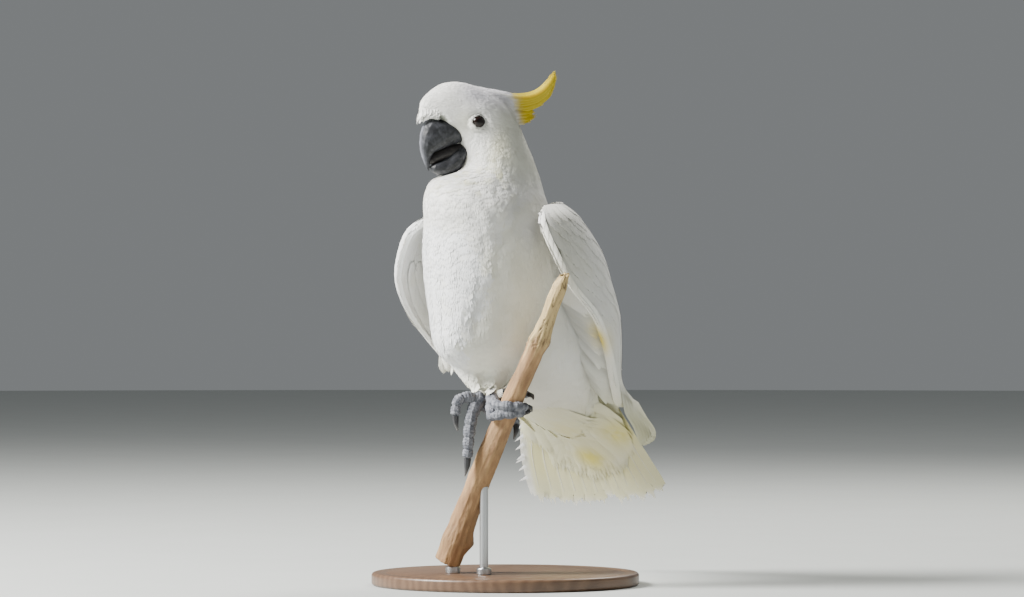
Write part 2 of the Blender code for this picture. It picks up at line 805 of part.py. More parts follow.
def build_stand(perch):
    bm = bmesh.new()
    bmesh.ops.create_cone(
        bm,
        cap_ends=True,
        segments=40,
        radius1=BASE_RADIUS * MM,
        radius2=BASE_RADIUS * MM,
        depth=BASE_THICKNESS * MM,
        matrix=Matrix.Translation((0, 0, BASE_THICKNESS * MM / 2)),
    )
    base = new_object("stand_base", bm, "stand_wood")
    bevel = base.modifiers.new("edge", "BEVEL")
    bevel.width = 2.5 * MM
    bevel.segments = 1
    bevel.limit_method = "ANGLE"
    base.data = evaluated_mesh(base)
    base.modifiers.clear()
    for name, height in (("stand_rod_low", -138.0), ("stand_rod_high", -62.0)):
        top = perch_axis(height)
        foot = Vector((top.x, top.y, BASE_THICKNESS * MM + GAP * 0.75))
        rod = tube(name, [foot, foot.lerp(top, 0.5), top], [ROD_RADIUS * MM] * 3, "stand_steel", 16)
        carve(rod, perch)


def main():
    clear_scene()
    head, neck, trunk = build_body()
    build_bill(head)
    build_eyes(head)
    build_crest(head)
    build_tail(trunk)
    tail = bpy.data.objects["tail"]
    build_wings(trunk, neck, tail)
    perch = build_perch()
    build_stand(perch)
    build_legs(trunk, perch, tail)


main()
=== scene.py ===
"""The finished look of the cockatoo: one skin, its feathers, bill, eyes, feet, perch and stand.

Lengths are metres unless a name says otherwise. The bird faces -Y and its left side is +X.
"""

import itertools
import math

import bmesh
import bpy
import numpy as np
from mathutils import Matrix, Vector, noise
from mathutils.bvhtree import BVHTree
from mathutils.kdtree import KDTree


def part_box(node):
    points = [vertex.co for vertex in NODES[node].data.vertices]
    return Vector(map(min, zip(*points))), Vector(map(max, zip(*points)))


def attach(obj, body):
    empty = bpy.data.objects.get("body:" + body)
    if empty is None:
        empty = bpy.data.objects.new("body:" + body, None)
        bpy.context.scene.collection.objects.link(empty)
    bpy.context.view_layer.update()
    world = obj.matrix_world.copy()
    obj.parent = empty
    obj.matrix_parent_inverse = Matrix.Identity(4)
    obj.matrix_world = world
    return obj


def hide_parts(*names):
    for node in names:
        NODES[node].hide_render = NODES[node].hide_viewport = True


MM = 0.001
SIDES = {"left": 1, "right": -1}
UP = np.array((0.0, 0.0, 1.0))
RANDOM = np.random.default_rng(11)

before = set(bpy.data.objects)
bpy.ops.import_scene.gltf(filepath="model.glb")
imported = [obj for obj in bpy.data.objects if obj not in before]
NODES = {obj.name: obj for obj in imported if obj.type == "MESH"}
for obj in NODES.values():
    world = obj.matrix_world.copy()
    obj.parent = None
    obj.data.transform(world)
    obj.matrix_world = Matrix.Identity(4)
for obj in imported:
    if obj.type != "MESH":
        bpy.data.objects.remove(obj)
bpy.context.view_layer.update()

# The camera looks level, from the bird's left front.
CAMERA_TURN = math.radians(34)
CAMERA_DISTANCE = 4.2
FRAME_WIDTH = 0.952  # of the view at the grip
IMAGE_RIGHT = Vector((math.cos(CAMERA_TURN), math.sin(CAMERA_TURN), 0))
TOWARDS_CAMERA = Vector((math.sin(CAMERA_TURN), -math.cos(CAMERA_TURN), 0))
GRIP = Vector((0.0075, -0.020, 0.173))
AIM = GRIP + IMAGE_RIGHT * 0.0112 + Vector((0, 0, 0.0944))

# The head is turned to the bird's right about this upright axis.
HEAD_TURN = math.radians(38)
HEAD_AXIS = Vector((-0.008, -0.042, 0))
HEAD_AHEAD = Vector((-math.sin(HEAD_TURN), -math.cos(HEAD_TURN), 0))
HEAD_LEFT = Vector((math.cos(HEAD_TURN), -math.sin(HEAD_TURN), 0))


def head_point(forward, side, height):
    """The place of a point given in millimetres in the head's own turned frame."""
    ahead, left = HEAD_AHEAD * (forward * MM), HEAD_LEFT * (side * MM)
    return HEAD_AXIS + ahead + left + Vector((0, 0, height * MM))


def unit(a):
    return a / np.maximum(np.linalg.norm(a, axis=-1, keepdims=True), 1e-12)


def smoothstep(low, high, x):
    t = np.clip((np.asarray(x, float) - low) / (high - low), 0, 1)
    return t * t * (3 - 2 * t)


def bell(*offsets):
    """1 where every offset is 0, falling smoothly to 0 round it."""
    return np.exp(-sum(offset**2 for offset in offsets))


def blend(colour, tone, share):
    """colour with tone laid over it. share is one number for each point of colour."""
    share = np.asarray(share)[..., None]
    return colour * (1 - share) + np.array(tone) * share


def laid_flat(ways, normals):
    """Unit ways with the part of them along the normals taken out."""
    return unit(ways - normals * np.sum(ways * normals, -1, keepdims=True))


# Materials. Colour comes from each mesh's "tint" attribute, made by a rule below, and from noise.


class Shader:
    """A Principled material, with short calls to add nodes."""

    def __init__(self, name, roughness=0.6, metallic=0.0, **inputs):
        self.material = bpy.data.materials.new(name)
        self.material.use_nodes = True
        self.tree = self.material.node_tree
        self.shader = self.tree.nodes["Principled BSDF"]
        self.shader.inputs["Roughness"].default_value = roughness
        self.shader.inputs["Metallic"].default_value = metallic
        for key, value in inputs.items():
            self.shader.inputs[key.replace("_", " ")].default_value = value
        self.place = self.tree.nodes.new("ShaderNodeTexCoord").outputs["Object"]

    def node(self, kind, **settings):
        made = self.tree.nodes.new("ShaderNode" + kind)
        for key, value in settings.items():
            if key in made.inputs:
                made.inputs[key].default_value = value
            else:
                setattr(made, key, value)
        return made

    def link(self, source, target):
        self.tree.links.new(source, target)

    def tint(self):
        return self.node("Attribute", attribute_name="tint").outputs["Color"]

    def mapped(self, source, scale):
        mapping = self.node("Mapping", Scale=scale)
        self.link(source, mapping.inputs["Vector"])
        return mapping.outputs["Vector"]

    def noise(self, scale, detail=3.0, stretch=None):
        made = self.node("TexNoise", Scale=scale, Detail=detail, Roughness=0.5)
        source = self.mapped(self.place, stretch) if stretch else self.place
        self.link(source, made.inputs["Vector"])
        return made.outputs["Fac"]

    def between(self, fac, low, high):
        """Maps fac, a socket from 0 to 1, onto the range low to high."""
        made = self.node("MapRange")
        made.inputs["To Min"].default_value = low
        made.inputs["To Max"].default_value = high
        self.link(fac, made.inputs["Value"])
        return made.outputs["Result"]

    def mix(self, fac, first, second, blend="MIX"):
        made = self.node("Mix", data_type="RGBA", blend_type=blend)
        for value, socket in ((fac, made.inputs[0]), (first, made.inputs[6]), (second, made.inputs[7])):
            if isinstance(value, bpy.types.NodeSocket):
                self.link(value, socket)
            else:
                socket.default_value = value if isinstance(value, float) else (*value, 1)
        return made.outputs[2]

    def greys(self, fac, low, high):
        return self.mix(fac, (low,) * 3, (high,) * 3)

    def colour(self, *factors):
        """Sets the base colour to the product of the factors."""
        product = factors[0]
        for factor in factors[1:]:
            product = self.mix(1.0, product, factor, "MULTIPLY")
        self.link(product, self.shader.inputs["Base Color"])

    def roughness(self, socket):
        self.link(socket, self.shader.inputs["Roughness"])

    def bump(self, socket, depth, strength):
        made = self.node("Bump", Strength=strength, Distance=depth)
        before = self.shader.inputs["Normal"].links
        if before:
            self.link(before[0].from_socket, made.inputs["Normal"])
        self.link(socket, made.inputs["Height"])
        self.link(made.outputs["Normal"], self.shader.inputs["Normal"])


# Meshes held as numpy arrays.


def set_look(obj, look):
    obj.data.materials.clear()
    obj.data.materials.append(look.material)


def add_object(name, data):
    obj = bpy.data.objects.new(name, data)
    bpy.context.scene.collection.objects.link(obj)
    return obj


def mesh_from(bm, name):
    """A mesh made of bm, which is freed."""
    mesh = bpy.data.meshes.new(name)
    bm.to_mesh(mesh)
    bm.free()
    return mesh


def values(items, attribute, size, kind=np.float32):
    """An attribute of all the items, as one row of size numbers for each."""
    found = np.empty(len(items) * size, kind)
    items.foreach_get(attribute, found)
    return found.reshape(-1, size)


def points_of(mesh):
    return values(mesh.vertices, "co", 3).astype(float)


def normals_of(mesh):
    return values(mesh.vertex_normals, "vector", 3).astype(float)


def arrays_of(obj):
    obj.data.calc_loop_triangles()
    return points_of(obj.data), values(obj.data.loop_triangles, "vertices", 3, np.int32)


def make_mesh(name, points, triangles, look, tint=None, places=None):
    """A mesh object of triangles. tint is one colour and places one OFBake spot for each point."""
    mesh = bpy.data.meshes.new(name)
    count = len(triangles)
    corners = np.ascontiguousarray(triangles, np.int32).ravel()
    mesh.vertices.add(len(points))
    mesh.loops.add(count * 3)
    mesh.loops.foreach_set("vertex_index", corners)
    mesh.polygons.add(count)
    mesh.polygons.foreach_set("loop_start", np.arange(0, count * 3, 3, dtype=np.int32))
    mesh.polygons.foreach_set("use_smooth", np.full(count, True))
    set_points(mesh, points)
    mesh.validate()
    if tint is not None:
        set_tint(mesh, tint)
    if places is not None:
        layer = mesh.uv_layers.new(name="OFBake")
        layer.uv.foreach_set("vector", np.ascontiguousarray(places[corners], np.float32).ravel())
    mesh.materials.append(look.material)
    obj = add_object(name, mesh)
    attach(obj, "root")
    return obj


def set_tint(mesh, tint):
    layer = mesh.attributes.get("tint") or mesh.attributes.new("tint", "FLOAT_COLOR", "POINT")
    colours = np.ones((len(mesh.vertices), 4), np.float32)
    colours[:, :3] = tint
    layer.data.foreach_set("color", colours.ravel())


def joined_copy(name, nodes):
    points, triangles, start = [], [], 0
    for node in nodes:
        found, corners = arrays_of(NODES[node])
        points.append(found)
        triangles.append(corners + start)
        start += len(found)
    mesh = bpy.data.meshes.new(name)
    mesh.from_pydata(np.vstack(points).tolist(), [], np.vstack(triangles).tolist())
    return add_object(name, mesh)


def apply_modifiers(obj):
    graph = bpy.context.evaluated_depsgraph_get()
    old = obj.data
    obj.data = bpy.data.meshes.new_from_object(obj.evaluated_get(graph), depsgraph=graph)
    obj.modifiers.clear()
    bpy.data.meshes.remove(old)


def remesh(obj, voxel, rounds):
    """Makes obj one closed surface of small faces, then smooths away its facets."""
    modifier = obj.modifiers.new("remesh", "REMESH")
    modifier.mode = "VOXEL"
    modifier.voxel_size = voxel
    modifier.use_smooth_shade = True
    relax = obj.modifiers.new("relax", "SMOOTH")
    relax.factor = 0.5
    relax.iterations = rounds
    apply_modifiers(obj)


def set_points(mesh, points):
    mesh.vertices.foreach_set("co", np.ascontiguousarray(points, np.float32).ravel())
    mesh.update()


def fractal(points, scale, seed=0.0, octaves=3):
    """Smooth noise from about -1 to 1 at each point. scale is its grain in metres."""
    shift = Vector((seed, seed * 1.7, -seed))
    return np.array([noise.fractal(Vector(p) / scale + shift, 0.6, 2.0, octaves) for p in points])


def add_camera():
    data = bpy.data.cameras.new("camera")
    data.sensor_width = 36
    data.lens = data.sensor_width * CAMERA_DISTANCE / FRAME_WIDTH
    data.clip_end = 50
    camera = add_object("camera", data)
    camera.location = AIM + TOWARDS_CAMERA * CAMERA_DISTANCE
    camera.rotation_euler = (math.pi / 2, 0, CAMERA_TURN)
    bpy.context.scene.camera = camera


def add_light(name, side, ahead, height, size, power, colour):
    """An area light about the aim: side to the view's right, ahead towards the camera."""
    data = bpy.data.lights.new(name, "AREA")
    data.shape = "DISK"
    data.size = size
    data.energy = power
    data.color = colour
    lamp = add_object(name, data)
    lamp.location = AIM + IMAGE_RIGHT * side + TOWARDS_CAMERA * ahead + Vector((0, 0, height))
    lamp.rotation_euler = (AIM - lamp.location).to_track_quat("-Z", "Y").to_euler()


def add_studio():
    add_light("key", -2.2, 0.55, 1.6, 1.1, 300, (1.0, 0.99, 0.97))
    add_light("fill", 1.9, 1.6, 0.5, 2.4, 4, (1.0, 0.97, 0.90))
    add_light("back", 0.9, -1.7, 1.7, 1.0, 48, (1.0, 0.98, 0.92))
    world = bpy.data.worlds.new("studio")
    world.use_nodes = True
    background = world.node_tree.nodes["Background"].inputs
    background["Color"].default_value = (0.80, 0.84, 0.86, 1)
    background["Strength"].default_value = 0.245
    bpy.context.scene.world = world
    look = Shader("floor", roughness=0.9)
    look.colour(look.mix(look.noise(9.0), (0.50, 0.52, 0.50), (0.54, 0.56, 0.54)))
    bm = bmesh.new()
    bmesh.ops.create_circle(bm, cap_ends=True, segments=96, radius=9)
    mesh = mesh_from(bm, "floor")
    mesh.materials.append(look.material)
    floor = add_object("floor", mesh)


# The skin: one surface for head, neck, trunk, wings and legs, inside the CAD by the coat's depth.


def grow(obj, amount):
    """Moves every point of obj's mesh out along its normal. amount is metres or one for each point."""
    points = points_of(obj.data)
    set_points(obj.data, points + normals_of(obj.data) * np.reshape(amount, (-1, 1)))


def unite(first, second):
    """Joins second onto first as one closed surface and removes second."""
    join = first.modifiers.new("join", "BOOLEAN")
    join.operation = "UNION"
    join.solver = "MANIFOLD"
    join.object = second
    apply_modifiers(first)
    bpy.data.objects.remove(second)


def perch_point(side, ahead, height):
    return GRIP + (IMAGE_RIGHT * side + TOWARDS_CAMERA * ahead + Vector((0, 0, height))) * MM


def add_rod(bm, start, end, first, last=None, sides=24):
    """Adds a closed cylinder or cone to bm, of radius first at its start."""
    way = end - start
    turn = way.to_track_quat("Z", "Y").to_matrix().to_4x4()
    matrix = Matrix.Translation((start + end) / 2) @ turn
    bmesh.ops.create_cone(
        bm, cap_ends=True, segments=sides, radius1=first, radius2=last or first,
        depth=way.length, matrix=matrix,
    )


def add_ball(bm, place, radius, subdivisions, height=1.0):
    """Adds a ball to bm, whose height is given as a share of its width."""
    ball = bmesh.ops.create_icosphere(bm, subdivisions=subdivisions, radius=radius)["verts"]
    bmesh.ops.scale(bm, vec=(1, 1, height), verts=ball)
    bmesh.ops.translate(bm, vec=place, verts=ball)


def head_frame(points):
    """Forward, side and height in millimetres of each point, in the head's own turned frame."""
    away = points - np.array(HEAD_AXIS)
    return np.stack([away @ np.array(HEAD_AHEAD), away @ np.array(HEAD_LEFT), points[:, 2]]) / MM


def perch_frame(points):
    """Side, ahead and height in millimetres of each point, in the perch's frame."""
    away = points - np.array(GRIP)
    return np.stack([away @ np.array(IMAGE_RIGHT), away @ np.array(TOWARDS_CAMERA), away[:, 2]]) / MM


def eye_distance(f, s, h, aside):
    """Millimetres from the nearer eye, seen from the side, of points that lie that far aside."""
    return np.where(np.abs(s) > aside, np.hypot(f - EYE_PLACE[0], h - EYE_PLACE[2]), np.inf)


def batches(count, size=4000):
    """Slices that take count rows a batch at a time, to spare memory."""
    return [slice(start, start + size) for start in range(0, count, size)]


# The top and the foot of each shank, in the perch's frame.
SHANKS = {"left": ((0, 17, 24), (-5, 29.5, 6)), "right": ((-24, 11, 22), (-19.5, 23, 4))}
EYE_PLACE = (1.3, 19.9, 430.6)  # in the head's frame
EYE_RADIUS = 7.2

# The bib's lower edge as (side, height), and the lapping row's edge as (height, side).
BIB_EDGE = (
    (-60, 346), (-40, 339), (-28, 332), (-23, 320), (-12, 323), (0, 333), (9, 350), (16, 363), (32, 376)
)
LAP_EDGE = ((200, -35), (232, -40), (250, -33), (265, -21), (285, -11), (301, -15), (320, -23))


def nostril(f, s, h):
    """Shares of the nostril's slot and of the bare patch round it."""
    a, b = f - 34.0, h - 433.0
    along, across = a * 0.82 + b * 0.57, b * 0.82 - a * 0.57
    slot = bell((along / 3.5) ** 2, across / 1.5) * (np.abs(s) > 4)
    patch = smoothstep(1.30, 0.90, np.hypot(along / 5.8, across / 3.6)) * (np.abs(s) > 4)
    return slot, patch


def bib_and_lap(points):
    """Shares of the clumped bib on the throat and of the row of feathers lapping down the breast."""
    side, _, _ = perch_frame(points)
    z = points[:, 2] / MM
    ripple = fractal(points, 0.014, 41.0, 2)
    low = np.interp(side, *zip(*BIB_EDGE)) + 5 * ripple
    edge = np.interp(z, *zip(*LAP_EDGE)) + 3.5 * np.abs(np.sin(z / 7.5)) + 3 * ripple
    lap = smoothstep(edge + 2.5, edge - 2.5, side) * smoothstep(200, 215, z)
    return smoothstep(low - 2.5, low + 2.5, z), lap


def shape_body_skin(obj):
    """Sets the skin back under the coat and gives it the lie of the feather masses."""
    points = points_of(obj.data)
    f, s, h = head_frame(points)
    _, y, z = (points / MM).T
    on_head = smoothstep(385, 415, z)
    depth = 2.7 - 1.1 * on_head
    # The throat is a clumped bib whose lower edge lies over the breast.
    front = smoothstep(10, -45, y)
    bib, lap = bib_and_lap(points)
    bib = bib * (1 - smoothstep(395, 412, z)) * front
    strands = fractal(points * (1.3, 1.3, 0.5), 0.014, 3.0, 2)
    depth -= bib * (1.8 + 0.6 * strands)
    # Soft folds lie over the body, and finer ones over the head.
    folds = points * (1.0, 1.0, 0.6)
    depth -= (1 - on_head) * (1 - bib) * 0.75 * fractal(folds, 0.019, 8.0, 2)
    depth -= on_head * 0.22 * fractal(points, 0.010, 12.0, 2)
    # The nostril is a slot in a bare patch above the bill.
    depth += 1.3 * nostril(f, s, h)[0]
    depth -= 1.3 * lap * front * (1 - bib) * (1 - on_head)
    # The skin swells a little round each eye and into a low brow.
    depth -= 0.9 * bell(eye_distance(f, s, h, 10) / 10)
    brow = np.hypot((f - EYE_PLACE[0] - 4) / 13, (h - EYE_PLACE[2] - 12) / 4.5)
    depth -= 0.7 * bell(brow) * (np.abs(s) > 8)
    grow(obj, -depth * MM)


def add_crest_root(obj):
    """Joins a low fin to the back of the crown, so that the crest grows out of the head."""
    bm = bmesh.new()
    bm.from_mesh(obj.data)
    for f in np.arange(6, -37, -2.0):
        radius = float(np.interp(f, (-36, -28, -14, 6), (7.4, 10.2, 13.6, 16.0)))
        high = float(np.interp(f, (-36, -18, 6), (460.5, 463.5, 467.0))) - radius
        low = float(np.interp(f, (-36, -18, 6), (437, 436, 436)))
        ends = [head_point(f, 0, h) for h in (low, high)]
        add_rod(bm, *ends, radius * MM, sides=20)
        for end in ends:
            add_ball(bm, end, radius * MM, 2)
    bm.to_mesh(obj.data)
    bm.free()


def build_skin():
    body = joined_copy("skin", ["head", "neck", "trunk", "thigh_left", "thigh_right"])
    body.data.validate()
    grow(body, 0.5 * MM)
    add_crest_root(body)
    remesh(body, 2.3 * MM, 18)
    shape_body_skin(body)
    wings = joined_copy("wings", ["wing_left", "wing_right"])
    remesh(wings, 1.7 * MM, 3)
    grow(wings, -0.6 * MM)
    legs = joined_copy("legs", [n for n in NODES if n.startswith(("foot_", "toe_"))])
    grow(legs, 0.5 * MM)
    bm = bmesh.new()
    bm.from_mesh(legs.data)
    for top, foot in SHANKS.values():
        add_rod(bm, perch_point(*foot), perch_point(*top), 5.2 * MM)
    bm.to_mesh(legs.data)
    bm.free()
    remesh(legs, 0.6 * MM, 3)
    grow(legs, -0.75 * MM)
    shape_legs(legs)
    for part in (wings, legs, lids()):
        unite(body, part)
    return body


def unwrap_skin(obj):
    """Unwraps the skin by its own shape, on the map that the feathers' roots are placed on."""
    while obj.data.uv_layers:
        obj.data.uv_layers.remove(obj.data.uv_layers[0])
    obj.data.uv_layers.new(name="OFBake")
    for other in bpy.context.selected_objects:
        other.select_set(False)
    obj.select_set(True)
    bpy.context.view_layer.objects.active = obj
    bpy.ops.object.mode_set(mode="EDIT")
    bpy.ops.mesh.select_all(action="SELECT")
    bpy.ops.uv.smart_project(angle_limit=1.15, island_margin=0.002)
    bpy.ops.object.mode_set(mode="OBJECT")


# The feet: scutes over the toes and fine scales elsewhere, worked into the skin.


def perch_middle(height):
    """Side and ahead of the perch's straight middle line, in the perch's frame."""
    return 11.7 + 0.40 * height, 45 + 0.33 * height


def perch_taper(height):
    return 12.9 - 5 * ((height + 150) / 266)


def perch_radius(height):
    knot = 1.5 * math.exp(-(((height - 58) / 7) ** 2)) + 1.2 * math.exp(-(((height + 128) / 8) ** 2))
    return perch_taper(height) + knot


def wrapped_toe(side_sign, drop, turns, radius, lean):
    """Rows of (side, ahead, height, radius) for a toe that curls round the perch."""
    rows = []
    for share in np.linspace(0, 1, 6):
        angle = math.radians(turns[0] + (turns[1] - turns[0]) * share)
        height = drop + lean * share
        thick = radius * (1 - 0.22 * share)
        reach = perch_radius(height) + thick + 0.5
        side, ahead = perch_middle(height)
        side += reach * math.sin(angle) * side_sign
        rows.append((side, ahead + reach * math.cos(angle), height, thick))
    return rows


# Each toe's rows of (side, ahead, height, radius) run from its root to its claw.
LEFT_JOINT, LEFT_HEEL = (-7, 33, 2, 6.2), (-5, 28, 1, 5.6)
RIGHT_JOINT, RIGHT_HEEL = (-20, 26, 0, 6.2), (-20, 22, -2, 5.6)
TOES = {
    "left_2": [LEFT_JOINT] + wrapped_toe(1, -3, (-62, 70), 4.9, -2),
    "left_3": [LEFT_JOINT] + wrapped_toe(1, -13.5, (-66, 72), 5.1, 3),
    "left_1": [LEFT_HEEL] + wrapped_toe(-1, 7, (150, 236), 4.6, -1),
    "left_4": [LEFT_HEEL] + wrapped_toe(-1, -5, (145, 215), 4.6, -2),
    "right_3": [
        RIGHT_JOINT,
        (-25.5, 34, -10, 6.0),
        (-28, 37, -26, 5.8),
        (-29, 37, -40, 5.3),
        (-29.7, 36, -51, 4.9),
    ],
    "right_2": [
        RIGHT_JOINT,
        (-29, 30, 3.5, 5.6),
        (-36.5, 33, 2, 5.4),
        (-40.3, 35, -4, 5.2),
        (-40.9, 36, -12, 4.7),
    ],
    "right_4": [RIGHT_HEEL, (-12, 18, -7, 5.4), (0, 17, -12, 5.2), (10, 21, -16, 4.8), (15, 27, -21, 4.3)],
    "right_1": [RIGHT_HEEL, (-23, 17, -9, 5.2), (-26, 15, -20, 4.8), (-27, 17, -31, 4.3)],
}


def toe_end(name):
    return perch_point(*TOES[name][-1][:3])


TOE_STEPS = 90  # points along each toe
PHALANX = 10.8  # millimetres from joint to joint


def toe_lines():
    """Points along every toe's middle with their distance along it and its number."""
    places, lengths = [], []
    for rows in TOES.values():
        found = spline(rows, np.linspace(0, len(rows) - 1, TOE_STEPS))
        line = np.array([perch_point(*row[:3]) for row in found])
        steps = np.linalg.norm(np.diff(line, axis=0), axis=1)
        places.append(line)
        lengths.append(np.concatenate(([0], np.cumsum(steps))) / MM)
    return np.vstack(places), np.concatenate(lengths), np.repeat(np.arange(len(TOES)), TOE_STEPS)


def shape_legs(obj):
    """Presses the joints and scutes into the toes."""
    points, normals = points_of(obj.data), normals_of(obj.data)
    lines, lengths, numbers = toe_lines()
    nearest = np.empty(len(points), int)
    for here in batches(len(points)):
        nearest[here] = ((points[here, None] - lines[None]) ** 2).sum(2).argmin(1)
    along, number = lengths[nearest], numbers[nearest]
    # Each phalanx swells between its joints.
    joint = 0.5 * np.cos(2 * np.pi * along / PHALANX)
    crease = bell(((along / PHALANX) % 1 - 0.5) / 0.10)
    scute = ((along + 0.25 * number) / 2.7) % 1
    depth = 0.55 * joint - 0.75 * crease + 0.20 - 0.55 * bell((scute - 0.5) / 0.13)
    depth += 0.22 * fractal(points, 0.0017, 2.0, 2)
    set_points(obj.data, points + normals * (depth * MM)[:, None])


# The lie of the coat. Each guide is a place, the way feathers point there, their length and its reach,
# in millimetres. Head guides are in the head's frame, and those off its middle are mirrored.

HEAD_GUIDES = (
    ((47, 0, 437), (0.35, 0, -1), 9.0, 6),
    ((50, 0, 452), (-0.3, 0, 0.6), 5.0, 6),
    ((38, 0, 456), (-0.8, 0, 1), 4.8, 9),
    ((22, 0, 466), (-1, 0, 0.25), 6.2, 12),
    ((0, 0, 470), (-1, 0, 0), 7.4, 14),
    ((-16, 0, 460), (-1, 0, 0), 8.5, 12),
    ((-16, 9, 450), (-1, 0, 0), 8.5, 12),
    ((-30, 6, 450), (-1, 0, 0.05), 8.5, 12),
    ((-24, 8, 438), (-1, 0, -0.35), 8.5, 10),
    ((-28, 0, 424), (-0.5, 0, -1), 9.5, 12),
    ((34, 14, 438), (-1, 0.3, 0.15), 4.2, 7),
    ((24, 17, 446), (-1, 0.2, 0.5), 5.0, 9),
    ((14, 19, 428), (-1, 0.2, -0.15), 4.6, 7),
    ((26, 16, 418), (-1, 0.3, -0.5), 4.4, 7),
    ((0, 20, 448), (-1, 0.1, 0.1), 5.6, 10),
    ((-10, 21, 432), (-1, 0, -0.45), 5.6, 9),
    ((4, 22, 414), (-0.7, 0.1, -0.9), 6.0, 10),
    ((16, 18, 404), (-0.45, 0.15, -1), 6.5, 8),
    ((12, 8, 392), (-0.3, 0.1, -1), 8.5, 8),
    ((12, 0, 388), (-0.2, 0, -1), 8.5, 8),
    ((-16, 26, 408), (-0.5, 0, -1), 10.0, 13),
)
BODY_GUIDES = (
    ((-14, -70, 380), (-0.1, -0.15, -1), 12.0, 16),
    ((24, -64, 380), (0.1, -0.1, -1), 12.0, 16),
    ((-34, -52, 380), (-0.1, -0.1, -1), 12.0, 16),
    ((44, -40, 366), (0.1, 0.1, -1), 14.0, 18),
    ((-50, -40, 360), (-0.1, 0.1, -1), 14.0, 18),
    ((0, -92, 345), (0, 0, -1), 15.0, 22),
    ((0, -92, 300), (0, 0.03, -1), 18.0, 26),
    ((0, -92, 250), (0, 0.15, -1), 19.0, 26),
    ((0, -80, 210), (0, 0.6, -1), 17.0, 20),
    ((0, -50, 188), (0, 0.95, -0.6), 16.0, 18),
    ((56, -50, 300), (0.05, 0.12, -1), 18.0, 26),
    ((-56, -50, 300), (-0.05, 0.12, -1), 18.0, 26),
    ((58, -20, 230), (0, 0.4, -1), 20.0, 24),
    ((-58, -20, 230), (0, 0.4, -1), 20.0, 24),
    ((0, 10, 370), (0, 0.25, -1), 14.0, 24),
    ((0, 50, 320), (0, 0.3, -1), 18.0, 30),
    ((0, 80, 240), (0, 0.5, -0.9), 22.0, 30),
    ((0, 105, 180), (0, 0.55, -0.85), 24.0, 28),
    ((0, 20, 170), (0, 0.8, -0.6), 20.0, 26),
    ((50, 40, 190), (0, 0.5, -0.9), 22.0, 26),
    ((-50, 40, 190), (0, 0.5, -0.9), 22.0, 26),
    ((0, 80, 140), (0, 0.6, -0.8), 22.0, 24),
)

# A wing's rows from its shoulder down: a point on its leading edge, one on its inner edge, and how
# far it bulges outwards. They are moved ahead by ROWS_BACK, as are those of the tail.
ROWS_BACK = 25
WINGS = {
    "left": (
        (60, -2, 353, 34, 34, 355, 14),
        (71, -26, 337, 27, 50, 340, 31),
        (84, -25, 308, 20, 73, 310, 42),
        (93, -12, 280, 15, 88, 280, 43),
        (100, 19, 252, 14, 105, 248, 36),
        (97, 46, 222, 18, 122, 216, 25),
        (88, 73, 192, 34, 142, 188, 10),
        (76, 101, 164, 60, 162, 166, 4),
    ),
    "right": (
        (58, -6, 347, 32, 32, 350, 12),
        (70, -30, 330, 27, 49, 334, 32),
        (84, -28, 306, 20, 72, 306, 40),
        (97, -14, 282, 15, 88, 280, 42),
        (102, 10, 254, 14, 105, 250, 38),
        (100, 42, 226, 14, 121, 220, 28),
        (84, 72, 194, 20, 140, 190, 14),
        (62, 100, 170, 34, 156, 168, 7),
    ),
}
WING_TIPS = {
    "left": (
        (76, 101, 164, 60, 162, 166, 4),
        (73, 126, 150, 62, 174, 150, 4),
        (70, 146, 137, 65, 182, 138, 2),
        (68, 160, 129, 67, 176, 129, 1),
    ),
    "right": (
        (62, 100, 170, 34, 156, 168, 7),
        (50, 122, 156, 40, 166, 154, 4),
        (46, 142, 146, 42, 172, 144, 2),
        (44, 154, 140, 43, 166, 140, 1),
    ),
}


def spline(rows, at):
    """Catmull-Rom values of rows at each at, a number of rows from the first."""
    rows = np.asarray(rows, float)
    at = np.clip(np.asarray(at, float), 0, len(rows) - 1)
    k = np.minimum(at.astype(int), len(rows) - 2)
    t = (at - k)[..., None]
    last = len(rows) - 1

    def slope(i):
        low, high = np.maximum(i - 1, 0), np.minimum(i + 1, last)
        return (rows[high] - rows[low]) / (high - low)[..., None]

    a, b, m, n = rows[k], rows[k + 1], slope(k), slope(k + 1)
    return (
        (2 * t**3 - 3 * t**2 + 1) * a
        + (t**3 - 2 * t**2 + t) * m
        + (3 * t**2 - 2 * t**3) * b
        + (t**3 - t**2) * n
    )


def wing_points(name, s, v, rows=WINGS):
    """Metres on a wing's middle sheet. s runs 0 to 1 to its end, v -1 to 1 from leading edge."""
    found = spline(rows[name], np.asarray(s) * (len(rows[name]) - 1))
    lead, inner, bulge = found[..., :3], found[..., 3:6], found[..., 6]
    share = (np.asarray(v) + 1) / 2
    chord = inner - lead
    outward = unit(np.stack([chord[..., 1], -chord[..., 0], 0 * bulge], -1))
    arch = bulge * np.sin(np.pi * np.clip(share, 0, 1)) ** 0.8
    place = lead + chord * share[..., None] + outward * arch[..., None]
    place = place * (SIDES[name], 1, 1)
    place[..., 1] -= ROWS_BACK
    return place * MM


def wing_frame(name, s, v, rows=WINGS):
    """Point, way along the wing, and outward normal."""
    s, v = np.broadcast_arrays(np.asarray(s, float), np.asarray(v, float))
    step, edge = 0.01, 0.99
    along = unit(wing_points(name, s + step, v, rows) - wing_points(name, s - step, v, rows))
    inner = wing_points(name, s, np.minimum(v + step, edge), rows)
    outer = wing_points(name, s, np.maximum(v - step, -edge), rows)
    normal = unit(np.cross(unit(inner - outer), along))
    outward = np.sum(normal * (np.array([SIDES[name], 0.3, 0])), -1, keepdims=True)
    return wing_points(name, s, v, rows), along, np.where(outward < 0, -normal, normal)


